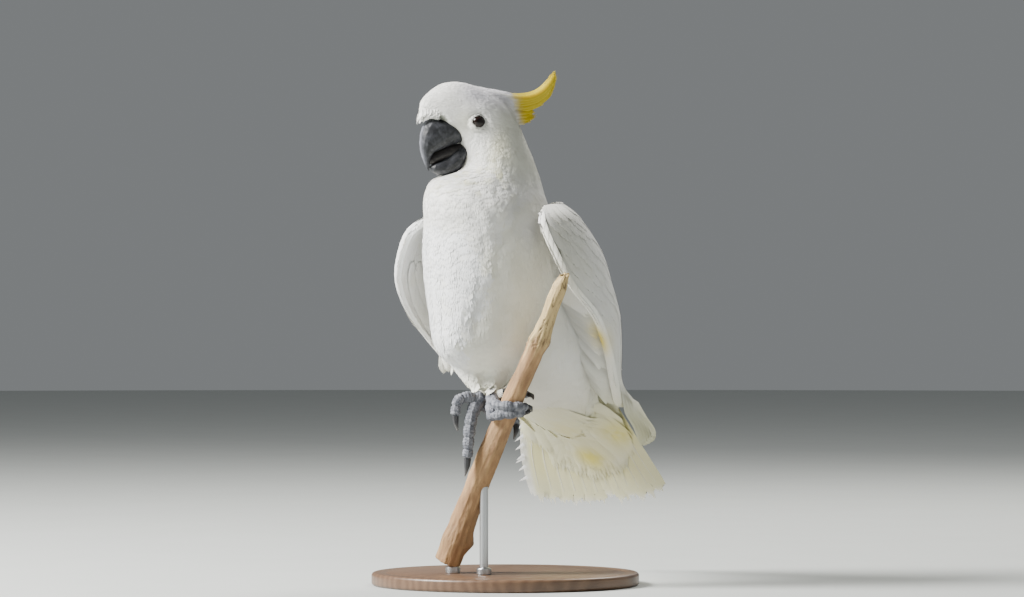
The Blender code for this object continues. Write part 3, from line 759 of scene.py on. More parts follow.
def all_guides():
    """Places and lengths in millimetres, ways and reaches of all the guides."""
    guides = []
    for place, way, length, reach in HEAD_GUIDES:
        for side in (1, -1) if place[1] else (1,):
            start = head_point(place[0], place[1] * side, place[2])
            end = HEAD_AHEAD * way[0] + HEAD_LEFT * way[1] * side + Vector((0, 0, way[2]))
            guides.append((np.array(start) / MM, np.array(end), length, reach))
    guides += BODY_GUIDES
    for name in SIDES:
        for s in np.arange(0.06, 1, 0.14):
            for v in (-0.85, -0.4, 0.1, 0.6, 0.9):
                here, along, _ = wing_frame(name, s, v)
                guides.append((here / MM, along, 9 + 10 * s, 11))
    places, ways, lengths, reaches = (np.array(column, float) for column in zip(*guides))
    return places, unit(ways), lengths, reaches


GUIDES = all_guides()


def lie_at(points, normals):
    """Way the feathers point and their length in metres at each point of the skin."""
    places, ways, lengths, reaches = GUIDES
    way, length = np.empty_like(points), np.empty(len(points))
    for here in batches(len(points)):
        away = np.linalg.norm(points[here, None] / MM - places[None], axis=2) / reaches
        weight = np.exp(-0.5 * np.minimum(away, 12) ** 2) + 1e-9 / (1 + away**2)
        weight /= weight.sum(1, keepdims=True)
        way[here] = weight @ ways
        length[here] = weight @ lengths
    return laid_flat(way, normals), length * MM


# The coat: thin overlapping tufts that lie along the skin, each with a split, rounded end.


class Template:
    """One tuft's shape: a sheet of rows by columns whose end splits into barbs."""

    def __init__(self, columns, sheet_rows, barb_rows, tip_round, gap=0.3):
        self.barbs = columns
        # Each point has its place along and across, its barb or -1, and its share of the barb.
        points, triangles = [], []
        edges = np.linspace(-1, 1, columns + 1)
        start = sheet_rows[-1]
        bow = tip_round if start > 0.8 else 0.0
        for row, at in enumerate(sheet_rows):
            points += [(at * (1 - bow * (edge * at / start) ** 2), edge, -1, 0.0) for edge in edges]
            for below in range((row - 1) * (columns + 1), row * (columns + 1) - 1) if row else ():
                above = below + columns + 1
                triangles += [(below, below + 1, above + 1), (below, above + 1, above)]
        for barb in range(columns):
            left = (len(sheet_rows) - 1) * (columns + 1) + barb
            right = left + 1
            middle, half = (edges[barb] + edges[barb + 1]) / 2, (edges[barb + 1] - edges[barb]) / 2
            reach = 1 - tip_round * middle**2
            start = sheet_rows[-1] * (1 - bow * middle**2)
            for share in barb_rows:
                keep = half * (1 - gap * (0.5 + share))
                new = len(points)
                for edge in (middle - keep, middle + keep):
                    points.append((start + (reach - start) * share, edge, barb, share))
                triangles += [(left, right, new + 1), (left, new + 1, new)]
                left, right = new, new + 1
            triangles.append((left, right, len(points)))
            points.append((reach, middle, barb, 1.0))
        self.s, self.v, barbs, self.end = np.array(points).T
        self.barb = barbs.astype(int)
        self.triangles = np.array(triangles)


CONTOUR = Template(8, (0, 0.3, 0.66), (0.55,), 0.30, 0.09)
FINE = Template(6, (0, 0.55), (0.5,), 0.34, 0.12)
FACE = Template(4, (0, 0.5), (), 0.3)


def width_profile(s):
    """Half width of a tuft along its length, as a share of the widest."""
    return np.interp(s, (0, 0.15, 0.35, 0.6, 0.8, 1), (0.25, 0.55, 0.88, 1, 0.96, 0.88))


class SkinMap:
    """Finds the nearest place on the skin, its normal and its spot on the skin's own unwrap."""

    def __init__(self, obj):
        mesh = obj.data
        points, self.triangles = arrays_of(obj)
        spots = values(mesh.uv_layers["OFBake"].uv, "vector", 2)
        self.spots = spots[values(mesh.loop_triangles, "loops", 3, np.int32)]
        self.corners = points[self.triangles]
        a, b, c = (self.corners[:, k] for k in range(3))
        self.areas = np.linalg.norm(np.cross(b - a, c - a), axis=1) / 2
        self.normals = normals_of(mesh)
        self.tree = BVHTree.FromPolygons(points.tolist(), self.triangles.tolist())

    def nearest(self, points):
        """Places on the skin nearest to the points, their normals and their spots."""
        found = [self.tree.find_nearest(point) for point in points.tolist()]
        places = np.array([place for place, _, _, _ in found])
        faces = np.array([face for _, _, face, _ in found])
        a, b, c = (self.corners[faces, k] for k in range(3))
        ab, ac, ap = b - a, c - a, places - a
        d00, d01, d11 = ((x * y).sum(1) for x, y in ((ab, ab), (ab, ac), (ac, ac)))
        d20, d21 = (ap * ab).sum(1), (ap * ac).sum(1)
        scale = np.maximum(d00 * d11 - d01 * d01, 1e-20)
        v, w = (d11 * d20 - d01 * d21) / scale, (d00 * d21 - d01 * d20) / scale
        shares = np.clip(np.stack([1 - v - w, v, w], 1), 0, 1)
        shares /= shares.sum(1, keepdims=True)
        return places, self.normals_at(faces, shares), self.spots_at(faces, shares)

    def normals_at(self, faces, shares):
        return unit(np.einsum("ij,ijk->ik", shares, self.normals[self.triangles[faces]]))

    def spots_at(self, faces, shares):
        return np.einsum("ij,ijk->ik", shares, self.spots[faces])

    def scatter(self, count, chance):
        """Random places on the skin's triangles. chance is one value per area for each triangle."""
        chance = self.areas * chance
        faces = RANDOM.choice(len(chance), count, p=chance / chance.sum())
        r1, r2 = np.sqrt(RANDOM.random(count)), RANDOM.random(count)
        shares = np.stack([1 - r1, r1 * (1 - r2), r1 * r2], 1)
        places = np.einsum("ij,ijk->ik", shares, self.corners[faces])
        return places, self.normals_at(faces, shares), faces, self.spots_at(faces, shares)


def thinned(points, gaps):
    """Indices of points kept so that no two lie nearer than their gaps."""
    steps = list(itertools.product((-1, 0, 1), repeat=3))
    cells = np.floor(points / float(gaps.max())).astype(int).tolist()
    kept, grid = [], {}
    for i, ((a, b, c), (x, y, z), gap) in enumerate(zip(cells, points.tolist(), gaps.tolist())):
        near = (place for i, j, k in steps for place in grid.get((a + i, b + j, c + k), ()))
        if all((p - x) ** 2 + (q - y) ** 2 + (r - z) ** 2 >= gap**2 for p, q, r in near):
            grid.setdefault((a, b, c), []).append((x, y, z))
            kept.append(i)
    return np.array(kept)


KNOTS = 5
SCATTERED = 170000  # roots tried for the coat, before they are thinned
MOST_TRIANGLES = 190000  # in one piece of the coat
ROOT_PATCH = 0.0028  # side of each feather's patch on the skin's unwrap


def curves_on_skin(skin_map, roots, ways, lengths, low, high):
    """Each tuft's middle line, hugging the skin: places and normals at evenly spaced knots."""
    places, normals = np.empty((2, len(roots), KNOTS, 3))
    here, way = roots, ways
    for k in range(KNOTS):
        found, normal, _ = skin_map.nearest(here)
        height = low + (high - low) * (k / (KNOTS - 1)) ** 1.3
        places[:, k] = found + normal * height[:, None]
        normals[:, k] = normal
        way = laid_flat(way, normal)
        here = found + way * (lengths / (KNOTS - 1))[:, None]
    return places, normals


def tuft_mesh(template, places, normals, widths, camber, ragged, profile):
    """Points of every tuft, given its middle line, as one array of tufts by points."""
    count, knots = places.shape[:2]
    widths = widths[:, None]
    barb, end = template.barb, template.end
    shift, stretch, lift = (
        RANDOM.normal(0, 1, (count, template.barbs))[:, barb] * end * (barb >= 0) for _ in range(3)
    )
    s = template.s + 0.045 * ragged * stretch
    v = template.v + 0.10 * ragged * shift
    at = np.clip(s, 0, 1.1) * (knots - 1)
    k = np.minimum(at.astype(int), knots - 2)
    t = (at - k)[..., None]
    rows = np.arange(count)[:, None]
    centre = places[rows, k] * (1 - t) + places[rows, k + 1] * t
    normal = unit(normals[rows, k] * (1 - t) + normals[rows, k + 1] * t)
    side = unit(np.cross(normal, unit(places[rows, k + 1] - places[rows, k])))
    half = (widths * profile(s) * v)[..., None]
    drop = (camber * widths * v**2 - 0.015 * lift * ragged * widths)[..., None]
    return centre + side * half - normal * drop, s, v


def repeated(triangles, count, points):
    """The triangles of count shapes that have the given number of points each."""
    return (triangles[None] + (np.arange(count) * points)[:, None, None]).reshape(-1, 3)


def add_tufts(name, look, template, places, normals, widths, tints, spots, camber):
    """Makes the tufts as pieces of fewer than 200,000 triangles each."""
    points, s, v = tuft_mesh(template, places, normals, widths, camber, 0.8, width_profile)
    # Painted shade: each tuft is a little darker towards its root, where the tufts over it shade it.
    colours = tints[:, None, :] * (0.955 + 0.045 * smoothstep(0.2, 0.9, s))[..., None]
    patch = ROOT_PATCH * np.stack([0.5 * v, np.clip(s, 0, 1) - 0.5], -1)
    uv = np.clip(spots[:, None, :] + patch, 0.0002, 0.9998)
    pieces = math.ceil(len(places) / (MOST_TRIANGLES // len(template.triangles)))
    for i, part in enumerate(np.array_split(np.arange(len(places)), pieces)):
        triangles = repeated(template.triangles, len(part), len(template.s))
        place, tint, spot = (whole[part].reshape(-1, whole.shape[-1]) for whole in (points, colours, uv))
        make_mesh(f"{name}_{i + 1}", place, triangles, look, tint, spot)


# Each yellow mark under the tail has its place in millimetres and its strength.
TAIL_MARKS = (((3, 144, 116), 0.95), ((46, 127, 142), 0.85), ((3, 106, 150), 0.6))
TAIL_YELLOW = (0.76, 0.66, 0.08)


def tail_marks(points):
    """The share of each yellow mark at the points."""
    for place, strength in TAIL_MARKS:
        yield strength * np.exp(-(((points / MM - place) / (15, 18, 13)) ** 2).sum(-1))


def coat_tint(points):
    """Colour of the plumage at each place: white, with the few warm and yellow markings and a warmer lower
    belly, and painted light and shade on the crown, nape, breast and shoulder.
    """
    f, s, h = head_frame(points)
    x, y, z = (points / MM).T
    on_side = np.abs(s) > 8
    crown = bell((h - 457) / 13) * smoothstep(32, 8, f) * smoothstep(385, 420, z)
    lores = bell((f - 16) / 9, (h - 431) / 9) * on_side
    nape = smoothstep(2, -22, f) * smoothstep(452, 436, h) * smoothstep(372, 402, z)
    bib, lap = bib_and_lap(points)
    breast = (1 - bib) * smoothstep(10, -45, y) * smoothstep(400, 385, z)
    belly = smoothstep(235, 180, z) * smoothstep(-60, -20, y)
    under_tail = smoothstep(192, 148, z) * smoothstep(10, 50, y)
    ear = bell((f + 13) / 9, (h - 413) / 12) * smoothstep(5, 14, np.abs(s))
    streak = np.maximum(fractal(points * (2.2, 2.2, 0.7), 0.010, 21.0), 0)
    throat = bell((z - 388) / 17) * smoothstep(-38, -52, y)
    mottle = smoothstep(0.1, 0.6, fractal(points, 0.012, 5.0)) * smoothstep(390, 350, z)
    crest_root = smoothstep(-30, -37, f) * (h > 428) * (np.abs(s) < 12)
    shoulder = bell((x - 62) / 16, (y + 42) / 18, (z - 342) / 16)
    wing_patch = bell((z - 227) / 15, (x - 93) / 8, (y - 10) / 18)
    colour = np.tile((0.86, 0.855, 0.82), (len(points), 1))
    for tone, share in (
        # Painted lavender shade on the crown.
        ((0.64, 0.62, 0.71), 0.60 * crown),
        ((0.80, 0.79, 0.58), 0.35 * lores),
        # Painted shade darkens the nape.
        ((0.64, 0.64, 0.52), 0.60 * nape),
        # Painted light makes the breast's lit side bluish white, and painted shade turns its other side
        # olive.
        ((0.84, 0.86, 0.89), 0.5 * lap * breast),
        ((0.78, 0.77, 0.65), 0.6 * (1 - lap) * breast),
        ((0.85, 0.84, 0.70), 0.5 * belly),
        ((0.78, 0.76, 0.50), 0.9 * under_tail),
        *((TAIL_YELLOW, mark * (y > 60)) for mark in tail_marks(points)),
        ((0.72, 0.69, 0.42), 0.50 * ear),
        ((0.70, 0.68, 0.38), 0.9 * streak * throat),
        ((0.82, 0.81, 0.70), 0.30 * mottle),
        ((0.74, 0.64, 0.34), 0.5 * crest_root),
        # Painted lavender grey shade on the left shoulder.
        ((0.66, 0.655, 0.70), 0.65 * shoulder),
        ((0.82, 0.64, 0.06), 1.25 * wing_patch),
    ):
        colour = blend(colour, tone, np.clip(share, 0, 1))
    return colour


def on_wings(points):
    """Nearest (s, v) of a wing's sheet to each point, and its distance in millimetres."""
    s, v = (a.ravel() for a in np.meshgrid(np.linspace(0, 1, 81), np.linspace(-1, 1, 61)))
    tree = KDTree(len(s) * 2)
    for i, place in enumerate(np.vstack([wing_points(name, s, v) for name in SIDES])):
        tree.insert(place, i)
    tree.balance()
    found = [tree.find(point)[1:] for point in points.tolist()]
    pick = np.array([i for i, _ in found]) % len(s)
    return s[pick], v[pick], np.array([away for _, away in found]) / MM


def in_mouth(points):
    f, s, h = head_frame(points)
    return (f > 12) & (np.abs(s) < 11.5) & (h < 411 + 0.2 * (24 - f)) & (h > 398)


def paint_skin(obj):
    """The skin under the coat has the coat's colours, made a little darker as painted shade beneath the
    tufts. Lids are pale, and the feet blue grey. The nostril's slot and the inside of the mouth are
    painted nearly black as their shade.
    """
    points = points_of(obj.data)
    f, s, h = head_frame(points)
    eye = eye_distance(f, s, h, 12)
    slot, patch = nostril(f, s, h)
    _, ahead, height = perch_frame(points)
    foot = (height < 14) & (ahead > 8) & (points[:, 2] < 0.2)
    mottle = np.clip(0.5 + 0.9 * fractal(points, 0.004, 6.0), 0, 1)
    # A little darker than the coat: painted shade beneath the tufts.
    colour = coat_tint(points) * (0.95, 0.935, 0.92)
    for tone, share in (
        ((0.56, 0.56, 0.52), smoothstep(11.0, 8.8, eye)),
        ((0.30, 0.31, 0.26), patch),
        # Painted shade: the nostril's slot nearly black.
        ((0.012, 0.012, 0.012), slot),
        ((0.30, 0.30, 0.31), 0.45 * smoothstep(6.6, 5.8, eye)),
        (blend((0.105, 0.112, 0.135), (0.235, 0.24, 0.265), mottle), foot),
        # Painted shade: the inside of the mouth nearly black.
        ((0.030, 0.024, 0.024), in_mouth(points)),
    ):
        colour = blend(colour, tone, share)
    set_tint(obj.data, colour)
    look = Shader("skin", roughness=0.6)
    scales = look.node("TexVoronoi", Scale=760.0, feature="DISTANCE_TO_EDGE")
    look.link(look.place, scales.inputs["Vector"])
    fine = look.noise(1300.0)
    look.colour(look.tint(), look.greys(fine, 0.82, 1.14))
    look.bump(scales.outputs["Distance"], 0.0006, 0.8)
    look.bump(fine, 0.0003, 0.4)
    set_look(obj, look)


def build_coat(skin_map):
    middle = skin_map.corners.mean(1)
    f, s, h = head_frame(middle)
    _, ahead, height = perch_frame(middle)
    bare = (ahead > 8) & (height < 11) & (ahead + height < 70)
    bare |= in_mouth(middle) | (nostril(f, s, h)[1] > 0.35) | (eye_distance(f, s, h, 12) < 7.6)
    way, length = lie_at(middle, unit(skin_map.normals[skin_map.triangles].mean(1)))
    gap = length * np.interp(length / MM, (5, 10, 16), (0.19, 0.185, 0.195))
    places, normals, faces, spots = skin_map.scatter(SCATTERED, ~bare / gap**2)
    keep = thinned(places, gap[faces])
    # The long feathers cover the lower half of each wing and the vanes of its edge the rest.
    share, cross, away = on_wings(places[keep])
    covered = ((share > 0.46) & (cross > -0.72)) | (share > 0.93) | ((share > 0.16) & (cross < -0.80))
    free = (away >= 7) | ~covered
    keep, share, cross = keep[free], share[free], cross[free]
    rim = (away[free] < 7) * smoothstep(-0.30, -0.65, cross)
    places, normals, faces, spots = places[keep], normals[keep], faces[keep], spots[keep]
    ways, lengths = way[faces], length[faces] * (1 - 0.30 * rim)
    lengths = lengths * RANDOM.uniform(0.9, 1.15, len(lengths))
    bend = 0.22 * fractal(places, 0.020, 31.0) + RANDOM.normal(0, 0.05, len(places))
    bend *= 1 - 0.8 * rim
    ways = unit(ways + np.cross(normals, ways) * bend[:, None])
    # On a wing's leading edge they lie exactly along it.
    _, straight, _ = wing_frame("left", share, cross)
    straight = straight * np.where(places[:, :1] < 0, (-1, 1, 1), 1)
    ways = unit(blend(ways, laid_flat(straight, normals), rim))
    tints = coat_tint(places) * RANDOM.normal(1, 0.010, (len(places), 1))
    high = np.interp(lengths / MM, (4, 8, 14, 22), (0.85, 1.1, 1.35, 1.6)) * MM
    high *= 1 + 0.08 * fractal(places, 0.014, 17.0) + RANDOM.normal(0, 0.02, len(places))
    high *= 1 - 0.7 * rim
    lines, upright = curves_on_skin(skin_map, places, ways, lengths, 0.15 * MM, high)
    widths = lengths * np.interp(lengths / MM, (4, 10, 20), (0.27, 0.31, 0.33))
    look = feather_look()
    for name, template, shortest, longest, camber in (
        ("coat_face", FACE, 0, 6.2, 0.12),
        ("coat_head", FINE, 6.2, 10.5, 0.12),
        ("coat_body", CONTOUR, 10.5, 99, 0.05),
    ):
        pick = (lengths >= shortest * MM) & (lengths < longest * MM)
        picked = (part[pick] for part in (lines, upright, widths, tints, spots))
        add_tufts(name, look, template, *picked, camber)


def push_out(tree, lines, clearance):
    """Moves the points of each line that lie in or near a surface out to the clearance."""
    for line in lines:
        for k in range(1, len(line)):
            place, normal, _, _ = tree.find_nearest(Vector(line[k]))
            rise = (Vector(line[k]) - place).dot(normal)
            if rise < clearance and abs(rise) < 8 * MM:
                line[k] = place + normal * clearance
        smooth(line)


def smooth(line):
    """Evens out the points of a line between its ends, twice."""
    for _ in range(2):
        line[1:-1] = (line[:-2] + line[1:-1] * 2 + line[2:]) / 4


def build_brow(skin_map):
    """Small feathers of the forehead that hang over the root of the bill."""
    points, triangles = arrays_of(NODES["bill_upper"])
    bill = BVHTree.FromPolygons(points.tolist(), triangles.tolist())
    count = 150
    s = RANDOM.uniform(-12, 10.5, count)
    side = np.abs(s + 1) / 11
    f = 50.5 - 11 * side**2 + RANDOM.uniform(-4, 1, count)
    starts = np.array([head_point(a, b, 438.5) for a, b in zip(f, s)])
    starts[:, 2] += RANDOM.uniform(-1, 4.5, count) * MM
    places, normals, spots = skin_map.nearest(starts)
    lengths = (9.5 - 6.5 * np.clip(side, 0, 1) ** 1.5) * RANDOM.uniform(0.8, 1.1, count) * MM
    way = np.array(HEAD_AHEAD) * 0.30 - UP
    steps = np.linspace(0, 1, KNOTS)[None, :, None]
    lines = places[:, None] + normals[:, None] * 0.6 * MM + way * steps * lengths[:, None, None]
    push_out(bill, lines, 0.5 * MM)
    ahead = unit(np.array(HEAD_AHEAD) + np.array(HEAD_LEFT) * (s / 14)[:, None])
    upright = unit(normals[:, None] * (1 - steps) + ahead[:, None] * steps)
    look, tints = feather_look(), coat_tint(places)
    add_tufts("coat_brow", look, FINE, lines, upright, lengths * 0.26, tints, spots, 0.12)


def feather_look():
    look = Shader("plumage", roughness=0.72, Sheen_Weight=0.12, Sheen_Roughness=0.5)
    look.colour(look.tint(), look.mix(look.noise(900.0, 2.0), (0.965, 0.965, 0.96), (1.0, 1.0, 1.0)))
    return look


# Flight and tail feathers: long vanes with barbs and a frayed end, the tail's each with a shaft.


def vane_profile(s):
    return np.interp(
        s, (0, 0.08, 0.3, 0.7, 0.88, 0.96, 1.0), (0.30, 0.62, 0.92, 1.0, 0.98, 0.86, 0.72)
    )


def barb_profile(s):
    return np.interp(s, (0, 0.3, 1.0), (1.0, 0.8, 0.12))


def plume_profile(s):
    return np.interp(s, (0, 0.1, 0.4, 0.75, 0.92, 1.0), (0.35, 0.7, 1.0, 1.0, 0.85, 0.6))


def vane_template(columns, rows, tip_round, split):
    sheet = tuple(np.linspace(0, split, rows))
    return Template(columns, sheet, (0.35, 0.7), tip_round, 0.22)


LONG_VANE = vane_template(14, 30, 0.10, 0.975)
TAIL_VANE = Template(9, tuple(np.linspace(0, 0.97, 30)), (0.5,), 0.05, 0.05)
COVERT_VANE = vane_template(14, 16, 0.26, 0.955)
PLUME = vane_template(10, 18, 0.26, 0.86)
DOWN_VANE = vane_template(14, 16, 0.22, 0.87)


def vane_spots(s, v, roots, skin_map):
    """OFBake places: a patch at each root on the skin's unwrap, or a strip for each long vane."""
    s, v = np.clip(s, 0, 1), np.clip(v, -1, 1)
    if skin_map:
        _, _, spots = skin_map.nearest(roots)
        return (spots[:, None] + 0.0015 * np.stack([v, 2 * s - 1], -1)).reshape(-1, 2)
    columns = math.ceil(math.sqrt(len(s) * 2))
    numbers = np.arange(len(s))[:, None]
    across = (numbers % columns + 0.5 + 0.42 * v) / columns
    along = (numbers // columns + 0.04 + 0.92 * s) / math.ceil(len(s) / columns)
    return np.stack([across, along], -1).reshape(-1, 2)


def plumage_tint(points, *_):
    """The coat's own colour at the points of vanes."""
    return coat_tint(points.reshape(-1, 3)).reshape(points.shape)


def varied(colour, numbers, step):
    """colour a little darker on some vanes than on others."""
    return colour * (0.97 + 0.03 * np.sin(numbers * step)[..., None])


def wing_tint(points, s, v, numbers):
    return varied(plumage_tint(points), numbers, 12.9)


def add_vanes(
    name, look, template, vanes, camber, ragged, tint_of=plumage_tint, skin_map=None, profile=vane_profile
):
    """Adds vanes, each given as its places, normals and half width."""
    places, normals, widths = (np.array(part) for part in zip(*vanes))
    points, s, v = tuft_mesh(template, places, normals, widths, camber, ragged, profile)
    numbers = np.arange(len(vanes))[:, None] * np.ones_like(s)
    colours = tint_of(points, s, v, numbers)
    triangles = repeated(template.triangles, len(vanes), len(template.s))
    spots = vane_spots(s, v, places[:, 0], skin_map)
    obj = make_mesh(name, points.reshape(-1, 3), triangles, look, colours.reshape(-1, 3), spots)
    # The barbs' texture runs across this attribute: slanting lines that differ from vane to vane.
    combs = s * np.linalg.norm(places[:, -1] - places[:, 0], axis=1)[:, None]
    combs = combs - 0.9 * np.abs(v) * widths[:, None]
    comb = obj.data.attributes.new("comb", "FLOAT_VECTOR", "POINT")
    lines = np.stack([combs, v * widths[:, None], numbers], -1)
    comb.data.foreach_set("vector", lines.astype(np.float32).ravel())
    return obj


def tube(rings, sides, start=0):
    """Triangles round a tube of points laid out ring by ring."""
    triangles = []
    for k in range(rings - 1):
        for j in range(sides):
            a, b = start + k * sides + j, start + k * sides + (j + 1) % sides
            triangles += [(a, b, b + sides), (a, b + sides, a + sides)]
    return triangles


def add_shafts(name, look, vanes, radius, colour):
    """Fine tapering quills along the middle of each vane."""
    points, triangles = [], []
    turns = np.arange(6) * 2 * math.pi / 6
    for line, up, _ in vanes:
        across = unit(np.cross(up, unit(np.gradient(line, axis=0))))
        count = int(len(line) * 0.93)
        triangles += tube(count, len(turns), len(points))
        for k in range(count):
            thick = radius * (1 - 0.8 * k / (len(line) - 1))
            ways = [across[k] * math.cos(turn) + up[k] * 0.8 * math.sin(turn) for turn in turns]
            points += [line[k] + way * thick for way in ways]
    return make_mesh(name, np.array(points), np.array(triangles), look, np.tile(colour, (len(points), 1)))


def vane_look():
    look = Shader("flight_feather", roughness=0.62, Sheen_Weight=0.08)
    comb = look.node("Attribute", attribute_name="comb").outputs["Vector"]
    barbs = look.node("TexNoise", Scale=1.0, Detail=2.0)
    look.link(look.mapped(comb, (2600, 60, 7)), barbs.inputs["Vector"])
    shade = look.mix(barbs.outputs["Fac"], (0.93, 0.93, 0.925), (1.0, 1.0, 1.0))
    look.colour(look.tint(), shade)
    look.bump(barbs.outputs["Fac"], 0.0002, 0.5)
    return look


def wing_depth(s, v):
    """Half the wing's thickness in metres."""
    edge = 1 - np.abs(v) ** 3
    swell = 8.5 * (1 - s) * np.sin(np.pi * np.minimum(s + 0.15, 1) ** 0.7)
    return (3.0 + swell) * (0.35 + 0.65 * edge) / 2 * MM


def wing_vane(name, half, start, end, count, lift, inner=False):
    """A vane from start to end, each (s, v), where s above 1 runs on along the wing's tip."""
    share = np.linspace(0, 1, count)
    s = start[0] + (end[0] - start[0]) * share
    v = start[1] + (end[1] - start[1]) * share
    on_wing = wing_frame(name, np.minimum(s, 0.995), v)
    on_tip = wing_frame(name, np.clip(s - 1, 0, 0.999), v, WING_TIPS)
    pick = (s <= 1)[:, None]
    normals = unit(np.where(pick, on_wing[2], on_tip[2])) * (-1 if inner else 1)
    depth = np.where(s <= 1, wing_depth(np.minimum(s, 1), v), 1.2 * MM)
    places = np.where(pick, on_wing[0], on_tip[0]) + normals * (depth + np.asarray(lift) * MM)[:, None]
    smooth(places)
    return places, normals, half * MM


def edge_vanes(name):
    """Smooth overlapping feathers wrapped along the wing's leading edge."""
    vanes = []
    for start in np.linspace(0.90, 0.02, 22):
        s = np.linspace(start, min(start + 0.17, 0.99), 16)
        edge, _, out = wing_frame(name, s, -0.97)
        ahead = unit(unit(edge - wing_points(name, s, -0.75)) + out * 0.15)
        rise = np.linspace(-0.2, 1.1, 16)[:, None] * MM
        vanes.append((edge + ahead * rise, ahead, 4.4 * MM))
    return vanes


def curve_between(start, leave, end, arrive, count):
    """A cubic that leaves start and arrives at end along the given directions."""
    share = np.linspace(0, 1, count)[:, None]
    run = np.linalg.norm(end - start)
    h1, h2 = 2 * share**3 - 3 * share**2 + 1, share**3 - 2 * share**2 + share
    h3, h4 = -2 * share**3 + 3 * share**2, share**3 - share**2
    return h1 * start + h2 * leave * run + h3 * end + h4 * arrive * run


def plume(skin_map, start, rise, way, end, arrive, facing, half, count=16, early=False):
    """A feather that leaves the skin near start, flat along way, and arrives at end.

    Its upper side turns from the skin's normal to facing, most of it early on where early is true.
    Without a way it leaves straight towards end.
    """
    place, normal, _ = (found[0] for found in skin_map.nearest(start[None]))
    place = place + normal * rise * MM
    leave = laid_flat(end - place if way is None else way, normal)
    share = np.linspace(0, 1, count)[:, None]
    turn = 1 - (1 - share) ** 3 if early else share
    upper = unit(normal * (1 - turn) + facing * turn)
    return curve_between(place, leave, end, arrive, count), upper, half * MM


def flank_plumes(skin_map, name):
    """Soft feathers that leave the flank and fill the hollow behind the wing's leading edge."""
    plumes, side = [], SIDES[name]
    for v, gap in ((-0.80, 2.5), (-0.55, 4.0), (-0.28, 5.0)):
        for s in np.linspace(0.56, 0.98, 15):
            s = s + RANDOM.normal(0, 0.01)
            edge, along, out = wing_frame(name, min(s, 0.99), v)
            end = edge - out * (wing_depth(min(s, 1.0), v) + gap * MM)
            start = end - along * 0.048 - out * 0.020 + (-side * 0.006, 0, 0)
            facing = np.array([side * 0.45, -0.86, 0.0])
            plumes.append(plume(skin_map, start, 0.5, None, end, along, facing, 11.0))
    return plumes


def mantle_plumes(skin_map, name):
    """Feathers of the back that lie over the inner edge of the folded wing."""
    plumes = []
    for layer, (v, count) in enumerate(((0.86, 19), (0.66, 17), (0.46, 15))):
        for s in np.linspace(0.68, 0.24, count) + RANDOM.normal(0, 0.008, count):
            edge, along, out = wing_frame(name, s, v)
            end = edge + out * (wing_depth(s, v) + (1.6 + 0.5 * layer) * MM)
            inward = unit(wing_points(name, s, 0.98) - wing_points(name, s, 0.8))
            reach = 0.030 + 0.006 * layer - 0.022 * smoothstep(0.42, 0.70, s)
            start = end - along * 0.036 + inward * (reach + RANDOM.normal(0, 0.004))
            plumes.append(plume(skin_map, start, 0.6, along, end, along, out, 7.5))
    push_out(skin_map.tree, [line for line, _, _ in plumes], 1.3 * MM)
    return plumes


COVERT_ROWS = ((0.66, 8.6), (0.53, 8.0), (0.42, 7.2), (0.32, 6.6), (0.22, 6.0))  # end, half width


def build_wings(skin_map):
    look = vane_look()
    for name in SIDES:
        vanes, coverts, lining = [], [], []
        # Primaries first, so that each later row lies over them.
        for i, v in enumerate((-0.55, -0.30, -0.05, 0.20, 0.45, 0.70)):
            end = (1.97 - 0.30 * max(v, 0) ** 1.5 - 0.10 * min(v, 0) ** 2, v * 0.9)
            vanes.append(wing_vane(name, 9.6, (0.66, v * 0.8), end, 40, 0.1 + 0.15 * i))
        for i, v in enumerate(np.linspace(-0.74, 0.90, 11)):
            start, end = (0.40, v - 0.04), (0.99 - 0.10 * abs(v - 0.1), v * 0.98)
            lift = np.linspace(0.2, 0.7 + 0.16 * i, 40)
            vanes.append(wing_vane(name, 10.5, start, end, 40, lift))
        for row, (high, half) in enumerate(COVERT_ROWS):
            for i, v in enumerate(np.linspace(-0.84, 0.92, 17 + 2 * row)):
                v = v + RANDOM.normal(0, 0.012)
                end = (high - 0.055 * (i % 2) + RANDOM.normal(0, 0.016), v + 0.02)
                lift = np.linspace(0.1, 0.75 + 0.2 * row + 0.14 * (i % 2), 16)
                coverts.append(wing_vane(name, half, (0.34 - 0.08 * row, v - 0.03), end, 16, lift))
        for i, v in enumerate(np.linspace(-0.70, 0.6, 9)):
            start, end = (0.30, v + 0.02), (0.95 - 0.08 * abs(v), v)
            lining.append(wing_vane(name, 10.0, start, end, 40, 0.3 + 0.15 * (8 - i), inner=True))
        blade = add_vanes(f"flight_{name}", look, LONG_VANE, vanes, 0.08, 0.2, wing_tint)
        add_vanes(f"coverts_{name}", look, COVERT_VANE, coverts, 0.08, 0.3, wing_tint, skin_map)
        add_vanes(f"lining_{name}", look, LONG_VANE, lining, 0.08, 0.3, wing_tint)
        add_vanes(f"edge_{name}", look, COVERT_VANE, edge_vanes(name), 0.55, 0.4, wing_tint, skin_map)
        mantle = mantle_plumes(skin_map, name)
        add_vanes(f"mantle_{name}", look, DOWN_VANE, mantle, 0.10, 0.5, wing_tint, skin_map)
        if name == "left":
            flank = flank_plumes(skin_map, name)
            add_vanes(f"flank_{name}", look, DOWN_VANE, flank, 0.03, 0.6, wing_tint, skin_map)
        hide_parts(f"wing_tip_{name}")


TAIL_LENGTH = 204.0
TAIL_LEAN = math.radians(32)
# Half widths from root to end, to the left and to the right.
TAIL_HALF_WIDTHS = ((24, 33, 43, 53, 64, 77), (22, 33, 43, 54, 66, 72))
UNDER = np.array([0, -math.cos(TAIL_LEAN), -math.sin(TAIL_LEAN)])  # out of the tail's under side
DOWN = np.array([0, math.sin(TAIL_LEAN), -math.cos(TAIL_LEAN)])  # along the tail


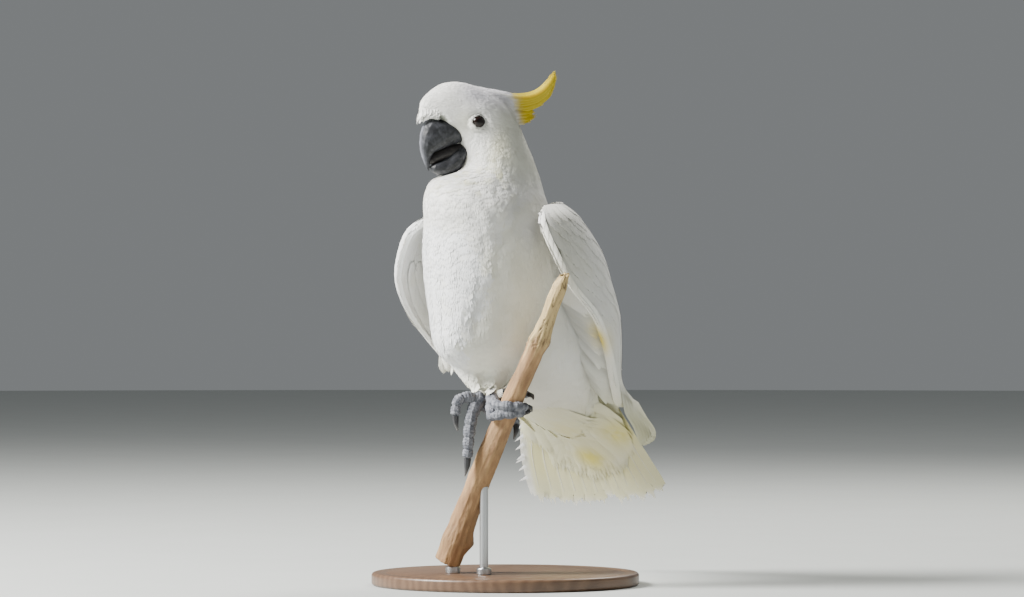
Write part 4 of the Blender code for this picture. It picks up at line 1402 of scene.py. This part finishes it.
def tail_points(s, v, lift):
    """Metres on the tail's middle sheet, raised by lift millimetres on its under side."""
    halves = spline(np.transpose(TAIL_HALF_WIDTHS), np.minimum(s, 1) * 5)
    half = np.where(v > 0, halves[..., 0], halves[..., 1]) * (1 + 0.3 * np.maximum(s - 1, 0))
    drop = TAIL_LENGTH * s * (1 - 0.085 * v * v * np.minimum(s, 1))
    arch = 7.0 * v * v * (0.4 + 0.6 * s)
    back = 88 + drop * math.sin(TAIL_LEAN) - (arch + lift) * math.cos(TAIL_LEAN)
    height = 250 - drop * math.cos(TAIL_LEAN) - (arch + lift) * math.sin(TAIL_LEAN)
    return np.stack([half * v, back - ROWS_BACK, height], -1) * MM


def build_tail():
    look = vane_look()
    vanes = []
    share = np.linspace(0, 1, 44)
    spots = np.linspace(-0.93, 0.93, 12)
    for v in spots:
        start, end = 0.30, 1.035 + (-0.02 if v > 0 else 0.055) * abs(v) + RANDOM.normal(0, 0.008)
        end = end - 0.035 * (0 < v < 0.1)
        sway = v + 0.02 * np.sin(share * 3) * np.sign(v)
        lift = 0.4 + 1.1 * abs(v) - 0.6 * share
        places = tail_points(start + (end - start) * share, np.clip(sway, -0.98, 0.98), lift)
        normals = np.tile(unit(UNDER + (-v * 0.17, 0, 0)), (len(share), 1))
        vanes.append((places, normals, (10.5 + 1.5 * abs(v)) * MM))

    def tint_of(points, s, v, numbers):
        # The inner webs are washed with yellow except near the end.
        inner = smoothstep(-0.7, 0.5, -v * np.sign(spots[numbers.astype(int)]))
        wash = smoothstep(0.15, 0.4, s) * (1 - smoothstep(0.72, 0.93, s)) * inner
        wash = wash * (0.225 + 0.125 * np.sin(numbers * 2.1 + 1.0))
        colour = blend((0.77, 0.75, 0.48), (0.88, 0.80, 0.25), wash)
        for mark in tail_marks(points):
            colour = blend(colour, TAIL_YELLOW, mark)
        # The ends are white, and so is the outer edge on the right.
        rim = (numbers == 0) * smoothstep(0.1, 0.7, -v) * smoothstep(0.3, 0.6, s)
        edge = np.maximum(smoothstep(0.94, 1.0, s) * 0.6, rim * 0.8)
        return varied(blend(colour, (0.90, 0.90, 0.88), edge), numbers, 7.3)

    tail = add_vanes("tail_feathers", look, TAIL_VANE, vanes, 0.03, 0.5, tint_of)
    # Broken barbs stand out from the edge of the outer feather on the right.
    barbs = []
    for s in (0.60, 0.68, 0.74, 0.81, 0.83, 0.885, 0.96):
        at = np.linspace(0, 1, 8)
        reach = 0.11 + 0.04 * RANDOM.random()
        line = tail_points(s + 0.055 * at, -1.06 - reach * at, 1.5)
        barbs.append((line, np.tile(UNDER, (8, 1)), 1.7 * MM))

    def white(points, *_):
        return np.full(points.shape, 0.90)

    add_vanes("tail_barbs", look, PLUME, barbs, 0.05, 0.6, white, profile=barb_profile)
    quills = Shader("quill", roughness=0.45)
    quills.colour(quills.mix(quills.noise(300.0), (0.80, 0.78, 0.70), (0.86, 0.85, 0.80)))
    add_shafts("tail_shafts", quills, vanes, 0.8 * MM, (0.85, 0.83, 0.76))
    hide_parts("tail")


def build_belly_tuft(skin_map):
    """A few loose feathers that hang clear of the belly's right edge."""
    right, ahead = np.array([-0.871, -0.49, 0.0]), np.array([0.49, -0.871, 0.0])
    strands, count = [], 18
    for _ in range(13):
        height = 214 + RANDOM.uniform(-5, 4)
        # The belly's edge is where a level ray meets the skin furthest to the right.
        hits = []
        for depth in range(-80, 61, 5):
            start = (right * 200 + ahead * depth + UP * height) * MM
            place, normal, _, _ = skin_map.tree.ray_cast(Vector(start), Vector(-right))
            if place is not None:
                hits.append((np.dot(place, right), np.array(place), np.array(normal)))
        _, place, normal = max(hits, key=lambda hit: hit[0])
        root = place + ahead * RANDOM.uniform(-1, 7) * MM + normal * 0.3 * MM
        hang = laid_flat(-UP, normal)
        reach = RANDOM.uniform(14, 17) * MM
        end = root + hang * reach * 0.9 + (right - UP) * reach * 0.15
        line = curve_between(root, hang, end, unit(right * 0.3 - UP), count)
        strands.append((line, np.tile(unit(normal + ahead), (count, 1)), 3.2 * MM))
    look = vane_look()
    add_vanes("belly_tuft", look, PLUME, strands, 0.15, 0.8, plumage_tint, skin_map, plume_profile)


def build_skirt(skin_map):
    """Long soft coverts that leave the body and lie over the root of the tail, on both sides."""
    look = vane_look()
    below, above = [], []

    def covert(start, v, tip, lift, face, half):
        """From start, in millimetres, to the share tip of the tail. face is 1 below it, -1 above."""
        end = tail_points(np.array(max(tip, 0)), np.array(v * 0.92), face * lift)
        end = end + DOWN * min(tip, 0) * TAIL_LENGTH * MM
        way, facing = DOWN - UNDER * 0.25 * face, UNDER * face + (-v * 0.15, 0, 0)
        return plume(skin_map, np.array(start) * MM, 1.2, way, end, DOWN, facing, half, 20, face > 0)

    # Each row has its tips' share of the tail, its roots' distance back and its lift.
    for tip, back, lift in zip(
        (0.90, 0.86, 0.82, 0.78, 0.74, 0.70, 0.67),
        (112, 104, 96, 86, 74, 60, 46),
        (1.2, 1.9, 2.7, 3.6, 4.6, 5.6, 6.6),
    ):
        for v in np.linspace(-0.66, 0.60, 12):
            v = v + RANDOM.normal(0, 0.015)
            start = (v * (34 - 0.2 * (back - 41)), back, 160 - 0.424 * (back - 41))
            end = tip - 0.08 * v * v + RANDOM.normal(0, 0.012)
            below.append(covert(start, v, end, lift, 1, 12.0))
    # At the tail's edges the roots lie up the trunk's side, at a share of the tail.
    for tip, root, lift in zip(
        (0.86, 0.79, 0.72, 0.65, 0.57, 0.49, 0.43),
        (0.50, 0.44, 0.38, 0.31, 0.24, 0.14, 0.06),
        (1.8, 2.6, 3.6, 4.8, 6.0, 7.0, 7.6),
    ):
        widest = np.interp(tip, (0.6, 0.65, 0.75, 0.8), (1.25, 1.02, 0.98, 0.9))
        spots = np.linspace(0.58, widest, 7)
        if tip < 0.80:
            spots = np.append(spots, (-0.62, -0.70, -0.78, -0.86, -0.94))
        for v in spots + RANDOM.normal(0, 0.012, len(spots)):
            start = tail_points(np.array(root), np.array(min(v, 1.0) * 0.88), 22.0) / MM
            end = tip - 0.08 * v * v + RANDOM.normal(0, 0.012)
            below.append(covert(start, v, end, lift + 1.5 * (v < 0), 1, 12.0))
    # Above, each row has its roots' height instead.
    for tip, height, lift in zip(
        (0.58, 0.52, 0.45, 0.38, 0.30, 0.22, 0.13, 0.03, -0.08, -0.20),
        (200, 210, 221, 233, 246, 260, 275, 291, 307, 323),
        (0.8, 1.8, 3.2, 4.8, 6.4, 8.0, 9.0, 9.5, 9.0, 8.0),
    ):
        for v in np.linspace(-0.85, 0.85, 10):
            v = v + RANDOM.normal(0, 0.02)
            end = tip - 0.06 * v * v + RANDOM.normal(0, 0.028)
            start = (v * 20, 100 + (205 - height) * 0.52, height)
            above.append(covert(start, v, end, lift, -1, 10.5))
    push_out(skin_map.tree, [line for line, _, _ in below], 1.8 * MM)
    add_vanes("tail_coverts", look, DOWN_VANE, below + above, 0.16, 0.8, plumage_tint, skin_map)


# The crest: long curved plumes over short ragged ones.

# Rows from root to tip: forward and height of the upper edge, of the lower one, and half width.
CREST_HORN = (
    (-6, 462.5, -6, 450, 10),
    (-18, 461.5, -20, 446, 9.5),
    (-32, 459, -35, 443, 8),
    (-44, 457.5, -48, 443, 6.2),
    (-57, 459, -60, 447, 4.6),
    (-67, 464, -70.5, 453.5, 3.6),
    (-74, 471, -77, 461.5, 2.8),
    (-77.5, 477, -82, 469, 2.4),
    (-80, 481, -84, 474, 1.6),
)
CREST_FAN = (
    (-12, 447, -14, 428, 9.5),
    (-20, 446, -24, 430, 9),
    (-34, 444, -40, 430, 7.5),
    (-47, 445, -52, 431, 5),
    (-58, 445, -60, 432, 3),
    (-66, 441, -66, 440, 0.6),
)


def crest_plume(rows, half, start, end, low, aside):
    """low runs from the crest's upper edge at 0 to its lower one at 1, aside from -1 to 1 across it."""
    found = spline(rows, np.linspace(start, end, 24) * (len(rows) - 1))
    depth = np.linspace(*low, 24)
    f = found[:, 0] * (1 - depth) + found[:, 2] * depth
    h = found[:, 1] * (1 - depth) + found[:, 3] * depth
    s = aside * found[:, 4]
    ahead, left = np.array(HEAD_AHEAD), np.array(HEAD_LEFT)
    places = f[:, None] * ahead + s[:, None] * left + h[:, None] * UP
    places = np.array(HEAD_AXIS) + places * MM
    facing = left * (1 if aside >= 0 else -1) + 0.35 * UP
    normals = laid_flat(facing, unit(np.gradient(places, axis=0)))
    return places, normals, half * MM


def build_crest():
    look = vane_look()
    plumes = []
    for i in range(22):
        aside = (-1) ** i * (0.15 + 0.75 * ((i * 7) % 11) / 10)
        low = 0.10 + 0.80 * ((i * 5) % 22) / 21
        end = 1.0 - 0.26 * low**2 - 0.03 * RANDOM.random()
        start = 0.01 + 0.05 * RANDOM.random()
        settle = (low, low * 0.9 + 0.05 + 0.10 * (low > 0.6))
        plumes.append(crest_plume(CREST_HORN, 2.9 + low, start, end, settle, aside))
    for i in range(18):
        aside = (-1) ** i * (0.1 + 0.8 * ((i * 5) % 9) / 8)
        low = 0.08 + 0.86 * ((i * 7) % 18) / 17
        end = 0.98 - 0.16 * low - 0.20 * RANDOM.random()
        plumes.append(crest_plume(CREST_FAN, 3.0, 0.02, end, (low, low), aside))

    def tint_of(points, s, v, numbers):
        pale = smoothstep(0.55, 1.0, np.abs(v)) * 0.30 + smoothstep(0.90, 1.0, s) * 0.45
        deep = 1 - smoothstep(0.10, 0.45, np.abs(s - 0.45))
        deep = 0.5 * deep * (1 - smoothstep(0.1, 0.6, np.abs(v)))
        # The roots are as white as the crown that they rise from.
        flat = points.reshape(-1, 3)
        f, _, h = head_frame(flat)
        border = (-f - 36 + 0.30 * (h - 458) + 2.5 * fractal(flat, 0.004, 5.0)).reshape(s.shape)
        colour = blend((0.70, 0.52, 0.002), (0.66, 0.38, 0.001), deep)
        colour = blend(colour, (0.84, 0.74, 0.08), np.clip(pale, 0, 0.8))
        colour = blend(colour, (0.80, 0.78, 0.76), 1 - smoothstep(-1.5, 2.5, border))
        colour = blend(colour, (0.74, 0.66, 0.42), 0.4 * bell((border - 1.5) / 3.5))
        return varied(colour, numbers, 5.1)

    crest = add_vanes("crest", look, PLUME, plumes, 0.25, 0.8, tint_of, profile=plume_profile)
    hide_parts("crest_horn", "crest_fan")


# Bill, eyes and claws.


def finished(obj, look):
    """Gives obj its only material and smooth shading, and fixes it to the frame."""
    set_look(obj, look)
    obj.data.shade_smooth()
    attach(obj, "root")
    return obj


def refined(name, node, voxel, rounds, amount, look):
    """A finer, smoothed copy of one CAD node, first grown by amount. Both sizes are millimetres."""
    obj = joined_copy(name, [node])
    grow(obj, amount * MM)
    remesh(obj, voxel * MM, rounds)
    return finished(obj, look)


def horn_look(name):
    look = Shader(name)
    look.shader.inputs["Specular IOR Level"].default_value = 0.35
    fine = look.noise(520.0, 3.0, (1.0, 1.0, 0.28))
    broad = look.noise(90.0, 4.0)
    look.colour(look.tint(), look.greys(fine, 0.80, 1.15))
    look.roughness(look.between(broad, 0.34, 0.62))
    look.bump(fine, 0.00025, 0.6)
    look.bump(broad, 0.0004, 0.35)
    return look


def build_bill():
    look = horn_look("bill_horn")
    for name, node, rounds in (("bill_top", "bill_upper", 6), ("bill_bottom", "bill_lower", 5)):
        obj, upper = refined(name, node, 0.5, rounds, 0.15, look), node == "bill_upper"
        points, normals = points_of(obj.data), normals_of(obj.data)
        f, s, h = head_frame(points)
        slot = nostril(f, s, h)[0] * upper
        # Growth lines run round the bill, nearly square to its curve.
        around = np.arctan2(h - 396, f - 18)
        lines = np.sin(around * 34 + 2.5 * fractal(points, 0.008, 4.0))
        worn = fractal(points * (1.6, 1.6, 0.6), 0.0035, 9.0)
        depth = 0.07 * lines + 0.10 * worn - 1.2 * slot
        if not upper:
            # The lower bill's front reaches up to the tip of the upper one.
            points = points + np.array(HEAD_AHEAD) * (1.8 * MM * smoothstep(26, 36, f))[:, None]
        set_points(obj.data, points + normals * (depth * MM)[:, None])
        # Painted highlight: a pale bluish grey along the ridge of the upper bill, over the mottled dust.
        ridge = bell(s / 3.4) * smoothstep(18, 32, np.hypot(f - 18, h - 396)) * upper
        dust_and_highlight = np.clip(0.4 + 0.9 * fractal(points, 0.006, 2.0), 0, 1) * 0.20
        dust_and_highlight = dust_and_highlight + 0.75 * ridge * smoothstep(384, 400, h)
        dust_and_highlight *= 1 - 0.5 * smoothstep(396, 386, h) * upper
        colour = blend((0.020, 0.021, 0.024), (0.20, 0.205, 0.235), np.clip(dust_and_highlight, 0, 1))
        # Painted shade: the nostril's slot is darker still.
        set_tint(obj.data, colour * (1 - 0.8 * slot[:, None]))
        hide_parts(node)


def build_tongue():
    """The tongue and the floor of the mouth, as one row of merging balls, painted nearly black as the
    shade inside the mouth.
    """
    flesh = Shader("tongue_painted_shade", roughness=0.5)
    # Painted shade: nearly black, as the inside of the mouth looks in its shade.
    flesh.colour(flesh.mix(flesh.noise(700.0), (0.007, 0.006, 0.006), (0.018, 0.014, 0.014)))
    flesh.bump(flesh.noise(900.0), 0.0003, 0.7)
    bm = bmesh.new()
    rows = ((4, 403.0, 7.4), (12, 404.0, 7.4), (22, 403.0, 7.0), (30, 400.4, 6.0))
    rows += ((36, 397.6, 5.0), (39.5, 395.2, 4.4))
    for f, h, radius in rows:
        add_ball(bm, head_point(f, 0, h), radius * MM, 4, 0.95)
    for (f, h, radius), (next_f, next_h, next_radius) in zip(rows, rows[1:]):
        start, end = head_point(f, 0, h), head_point(next_f, 0, next_h)
        add_rod(bm, start, end, radius * 0.97 * MM, next_radius * 0.97 * MM)
    tongue = add_object("mouth_tongue", mesh_from(bm, "mouth_tongue"))
    remesh(tongue, 0.5 * MM, 8)
    finished(tongue, flesh)
    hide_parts("tongue")


def add_ring(bm, centre, axis, profile, sides, shape):
    """Adds a closed ring to bm: profile is a loop of (radius, height) turned about the axis."""
    across = Vector((0, 0, 1)).cross(axis).normalized()
    upright = axis.cross(across).normalized()
    rings = []
    for j in range(sides):
        turn = 2 * math.pi * j / sides
        out = across * math.cos(turn) + upright * math.sin(turn)
        ring = []
        for k, (radius, height) in enumerate(profile):
            wider, rise = shape(turn, k)
            place = centre + (out * radius * wider + axis * (height + rise)) * MM
            ring.append(bm.verts.new(place))
        rings.append(ring)
    for a, b in zip(rings, rings[1:] + rings[:1]):
        for k in range(len(profile)):
            m = (k + 1) % len(profile)
            bm.faces.new((a[k], b[k], b[m], a[m]))


EYE_SINK = 0.9  # millimetres that the eye is set in behind its lids
LID_PROFILE = (
    (11.0, -3.0), (10.4, -0.8), (9.6, 0.6), (8.9, 1.6), (8.3, 2.35), (7.7, 2.95), (7.1, 3.45), (6.6, 3.8),
    (6.2, 4.0), (5.85, 4.0), (5.7, 3.75), (5.9, 3.2), (6.7, 2.0), (7.2, 0.4), (8.5, -3.2),
)
LID_INSIDE = 9  # the first row of the profile that faces the eye


def eye_place(side):
    return head_point(EYE_PLACE[0], EYE_PLACE[1] * side, EYE_PLACE[2])


def eye_axis(side):
    """The way each eye looks: out from the head and a little ahead."""
    return (HEAD_LEFT * side + HEAD_AHEAD * 0.16 + Vector((0, 0, 0.02))).normalized()


def lids():
    """Both pairs of eyelids as closed rings, wrinkled round the eye."""

    def wrinkled(turn, k):
        oval = 1 + 0.045 * math.cos(2 * turn)
        fold = 0.16 * math.sin(k * 2.4) * (0.6 + 0.4 * math.sin(turn * 9 + k))
        beads = 0.14 * math.sin(turn * 36) if 6 <= k <= 8 else 0.0
        return oval, fold + beads if k < LID_INSIDE else 0.0

    bm = bmesh.new()
    for side in SIDES.values():
        add_ring(bm, eye_place(side), eye_axis(side), LID_PROFILE, 108, wrinkled)
    bmesh.ops.recalc_face_normals(bm, faces=bm.faces)
    return add_object("lids", mesh_from(bm, "lids"))


def build_eyes():
    look = Shader("eye_ball", roughness=0.3, Coat_Weight=0.6, Coat_Roughness=0.04)
    look.shader.inputs["Specular IOR Level"].default_value = 0.1
    look.colour(look.tint(), look.mix(look.noise(1500.0), (0.012, 0.006, 0.004), (0.028, 0.013, 0.008)))
    for name, side in SIDES.items():
        bm = bmesh.new()
        bmesh.ops.create_uvsphere(bm, u_segments=64, v_segments=48, radius=EYE_RADIUS * 0.985 * MM)
        axis = eye_axis(side)
        turn = axis.to_track_quat("Z", "Y").to_matrix().to_4x4()
        centre = eye_place(side) - axis * EYE_SINK * MM
        bmesh.ops.transform(bm, matrix=Matrix.Translation(centre) @ turn, verts=bm.verts)
        mesh = mesh_from(bm, f"eyeball_{name}")
        points = points_of(mesh)
        out = (points - np.array(centre)) @ np.array(axis)
        radius = np.sqrt(np.maximum((EYE_RADIUS * MM) ** 2 - out**2, 0)) / MM
        radius = np.where(out > 0, radius, 9)
        iris = (smoothstep(2.6, 3.1, radius) * (1 - smoothstep(5.0, 5.6, radius)))[:, None]
        set_tint(mesh, 0.15 + iris * (0.30, 0.18, 0.14))
        # The clear front stands a little proud of the ball.
        bulge = 0.35 * MM * smoothstep(5.6, 2.0, radius) * (out > 0)
        set_points(mesh, points + np.array(axis) * bulge[:, None])
        obj = finished(add_object(f"eyeball_{name}", mesh), look)
        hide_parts(f"eye_{name}")


def build_claws():
    look = horn_look("claw_horn")
    for node in [n for n in NODES if n.startswith("claw_")]:
        obj = refined(node.replace("claw", "talon"), node, 0.32, 4, 0.12, look)
        base = np.array(toe_end(node.removeprefix("claw_")))
        away = np.linalg.norm(points_of(obj.data) - base, axis=1)
        worn = smoothstep(0.45, 1.0, away / away.max())
        set_tint(obj.data, blend((0.040, 0.040, 0.043), (0.16, 0.155, 0.15), worn))
        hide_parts(node)


# The cut branch and the stand that holds it.


def build_perch():
    look = Shader("branch", roughness=0.72)
    fibres = look.noise(260.0, 4.0, (1.0, 1.0, 0.10))
    specks = look.noise(620.0, 3.0)
    streaks = look.mix(fibres, (0.62, 0.59, 0.56), (1.30, 1.30, 1.30))
    look.colour(look.tint(), streaks, look.mix(specks, (0.86, 0.85, 0.84), (1.1, 1.1, 1.1)))
    look.roughness(look.between(fibres, 0.6, 0.85))
    look.bump(fibres, 0.0008, 0.7)
    look.bump(specks, 0.0004, 0.5)
    obj = refined("branch", "perch", 0.9, 5, -0.2, look)
    points, normals = points_of(obj.data), normals_of(obj.data)
    a, b, c = perch_frame(points)
    # Coordinates that unroll the branch, so that grain and cracks run along it.
    side, ahead = perch_middle(c)
    turn = np.arctan2(a - side - 1.6 * np.sin(c / 45), b - ahead)
    radius = perch_taper(c)
    flat = np.stack([np.sin(turn) * radius, np.cos(turn) * radius, c * 0.16], 1) * MM
    grain = fractal(flat, 0.0016, 1.0, 3)
    ridges = fractal(flat, 0.0045, 7.0, 3)
    crack = bell(fractal(flat * (1, 1, 0.8), 0.0052, 13.0, 2) / 0.035)
    # The upper end has lost its bark, and its cut face is rough. Two knots swell the rest.
    top, end = smoothstep(40, 66, c + 9 * ridges), smoothstep(108, 114, c)
    knot, low_knot = bell((c - 55) / 6), bell((c + 128) / 7)
    depth = 0.10 * grain + 0.28 * ridges + 0.7 * fractal(points, 0.022, 15.0, 2)
    depth -= crack * (0.25 + 0.75 * top) + 0.9 * top * (1 - knot)
    depth += knot * (-0.3 + 0.9 * fractal(points, 0.005, 3.0)) + 0.6 * low_knot * ridges
    depth += end * 1.2 * fractal(flat * (1, 1, 0.1), 0.0030, 19.0)
    set_points(obj.data, points + normals * (depth * MM)[:, None])
    bark, ruddy = (0.42, 0.26, 0.125), (0.32, 0.18, 0.085)
    peeled, dark = (0.56, 0.42, 0.20), (0.10, 0.062, 0.035)
    ridge = np.clip(0.5 + 0.9 * ridges, 0, 1)
    warm = np.clip(0.5 + fractal(points, 0.03, 23.0), 0, 1)
    colour = blend(ruddy, bark, ridge) * (0.88 + 0.24 * warm)[:, None]
    colour = blend(colour, np.array(peeled) * (0.85 + 0.3 * ridge)[:, None], top)
    mark = np.clip(crack * (0.28 + 0.6 * top) + 0.45 * knot * (grain > 0.1), 0, 0.9)
    set_tint(obj.data, blend(colour, dark, mark))
    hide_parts("perch")


def turned(name, look, profile, sides, degrees, place=(0, 0)):
    """A solid of revolution about an upright axis, with sharp edges where it bends by degrees.

    profile is (radius, height) in millimetres from top to bottom.
    """
    points = []
    for radius, height in profile:
        for j in range(sides):
            turn = 2 * math.pi * j / sides
            x, y = radius * math.cos(turn), radius * math.sin(turn)
            points.append((place[0] + x * MM, place[1] + y * MM, height * MM))
    triangles = [(a, c, b) for a, b, c in tube(len(profile), sides)]
    for k, flip in ((0, 1), (len(profile) - 1, -1)):
        centre = len(points)
        points.append((place[0], place[1], profile[k][1] * MM))
        for j in range(sides):
            pair = (k * sides + j, k * sides + (j + 1) % sides)[::flip]
            triangles.append((centre, *pair))
    obj = make_mesh(name, np.array(points), np.array(triangles), look)
    bm = bmesh.new()
    bm.from_mesh(obj.data)
    for edge in bm.edges:
        edge.smooth = edge.calc_face_angle(0) <= math.radians(degrees)
    bm.to_mesh(obj.data)
    bm.free()
    return obj


def round_profile(radius, low, high, bevel, steps=6):
    """Down the outside of a disc with rounded rims."""
    turns = [k / steps * math.pi / 2 for k in range(steps + 1)]
    inner, upper, lower = radius - bevel, high - bevel, low + bevel
    rows = [(inner + bevel * math.sin(turn), upper + bevel * math.cos(turn)) for turn in turns]
    return rows + [(inner + bevel * math.cos(turn), lower - bevel * math.sin(turn)) for turn in turns]


def build_stand():
    wood = Shader("stand_walnut", roughness=0.42, Coat_Weight=0.2, Coat_Roughness=0.25)
    rings = wood.node("TexWave", wave_type="BANDS", bands_direction="X", Scale=34.0, Distortion=5.0)
    rings.inputs["Detail"].default_value = 3.0
    rings.inputs["Detail Scale"].default_value = 1.4
    wood.link(wood.mapped(wood.place, (1.0, 0.12, 1.0)), rings.inputs["Vector"])
    pores = wood.noise(900.0, 3.0, (1.0, 0.06, 1.0))
    tone = wood.mix(rings.outputs["Fac"], (0.125, 0.068, 0.038), (0.180, 0.103, 0.058))
    wood.colour(tone, wood.greys(pores, 0.72, 1.12))
    wood.bump(pores, 0.0002, 0.4)
    wood.roughness(wood.between(pores, 0.36, 0.5))
    # A shallow groove runs round the top.
    profile = [(60, 12.0), (110, 12.0), (111, 11.4), (112.4, 11.4), (113.4, 12.0)]
    profile += round_profile(125, 0.0, 12.0, 3.0)
    base = turned("stand_disc", wood, profile, 160, 35)
    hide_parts("stand_base")
    steel = Shader("stand_steel", roughness=0.3, metallic=1.0)
    brushed = steel.noise(500.0, 3.0, (1.0, 1.0, 0.03))
    steel.colour(steel.mix(brushed, (0.46, 0.47, 0.48), (0.62, 0.63, 0.64)))
    steel.roughness(steel.between(brushed, 0.24, 0.40))
    steel.bump(brushed, 0.00006, 0.4)
    for which in ("low", "high"):
        low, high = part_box(f"stand_rod_{which}")
        centre = ((low[0] + high[0]) / 2, (low[1] + high[1]) / 2)
        foot, top = low[2] / MM, high[2] / MM
        # The rod stands in a flared collar.
        rows = [(3.7, top), (4.0, top - 0.4), (4.0, foot + 7.0), (4.6, foot + 6.4)]
        rows += [(6.6, foot + 5.8), (7.0, foot + 5.2), (7.0, foot + 0.4), (6.8, foot + 0.1)]
        rod = turned(f"stand_pin_{which}", steel, rows, 64, 30, centre)
        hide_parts(f"stand_rod_{which}")


add_camera()
add_studio()

skin = build_skin()
unwrap_skin(skin)
paint_skin(skin)
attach(skin, "root")
flesh = ("foot_", "toe_", "thigh_", "wing_left", "wing_right", "head", "neck", "trunk")
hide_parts(*[node for node in NODES if node.startswith(flesh)])
skin_map = SkinMap(skin)
build_coat(skin_map)
build_brow(skin_map)
build_wings(skin_map)
build_tail()
build_skirt(skin_map)
build_belly_tuft(skin_map)
build_crest()
build_bill()
build_tongue()
build_eyes()
build_claws()
build_perch()
build_stand()
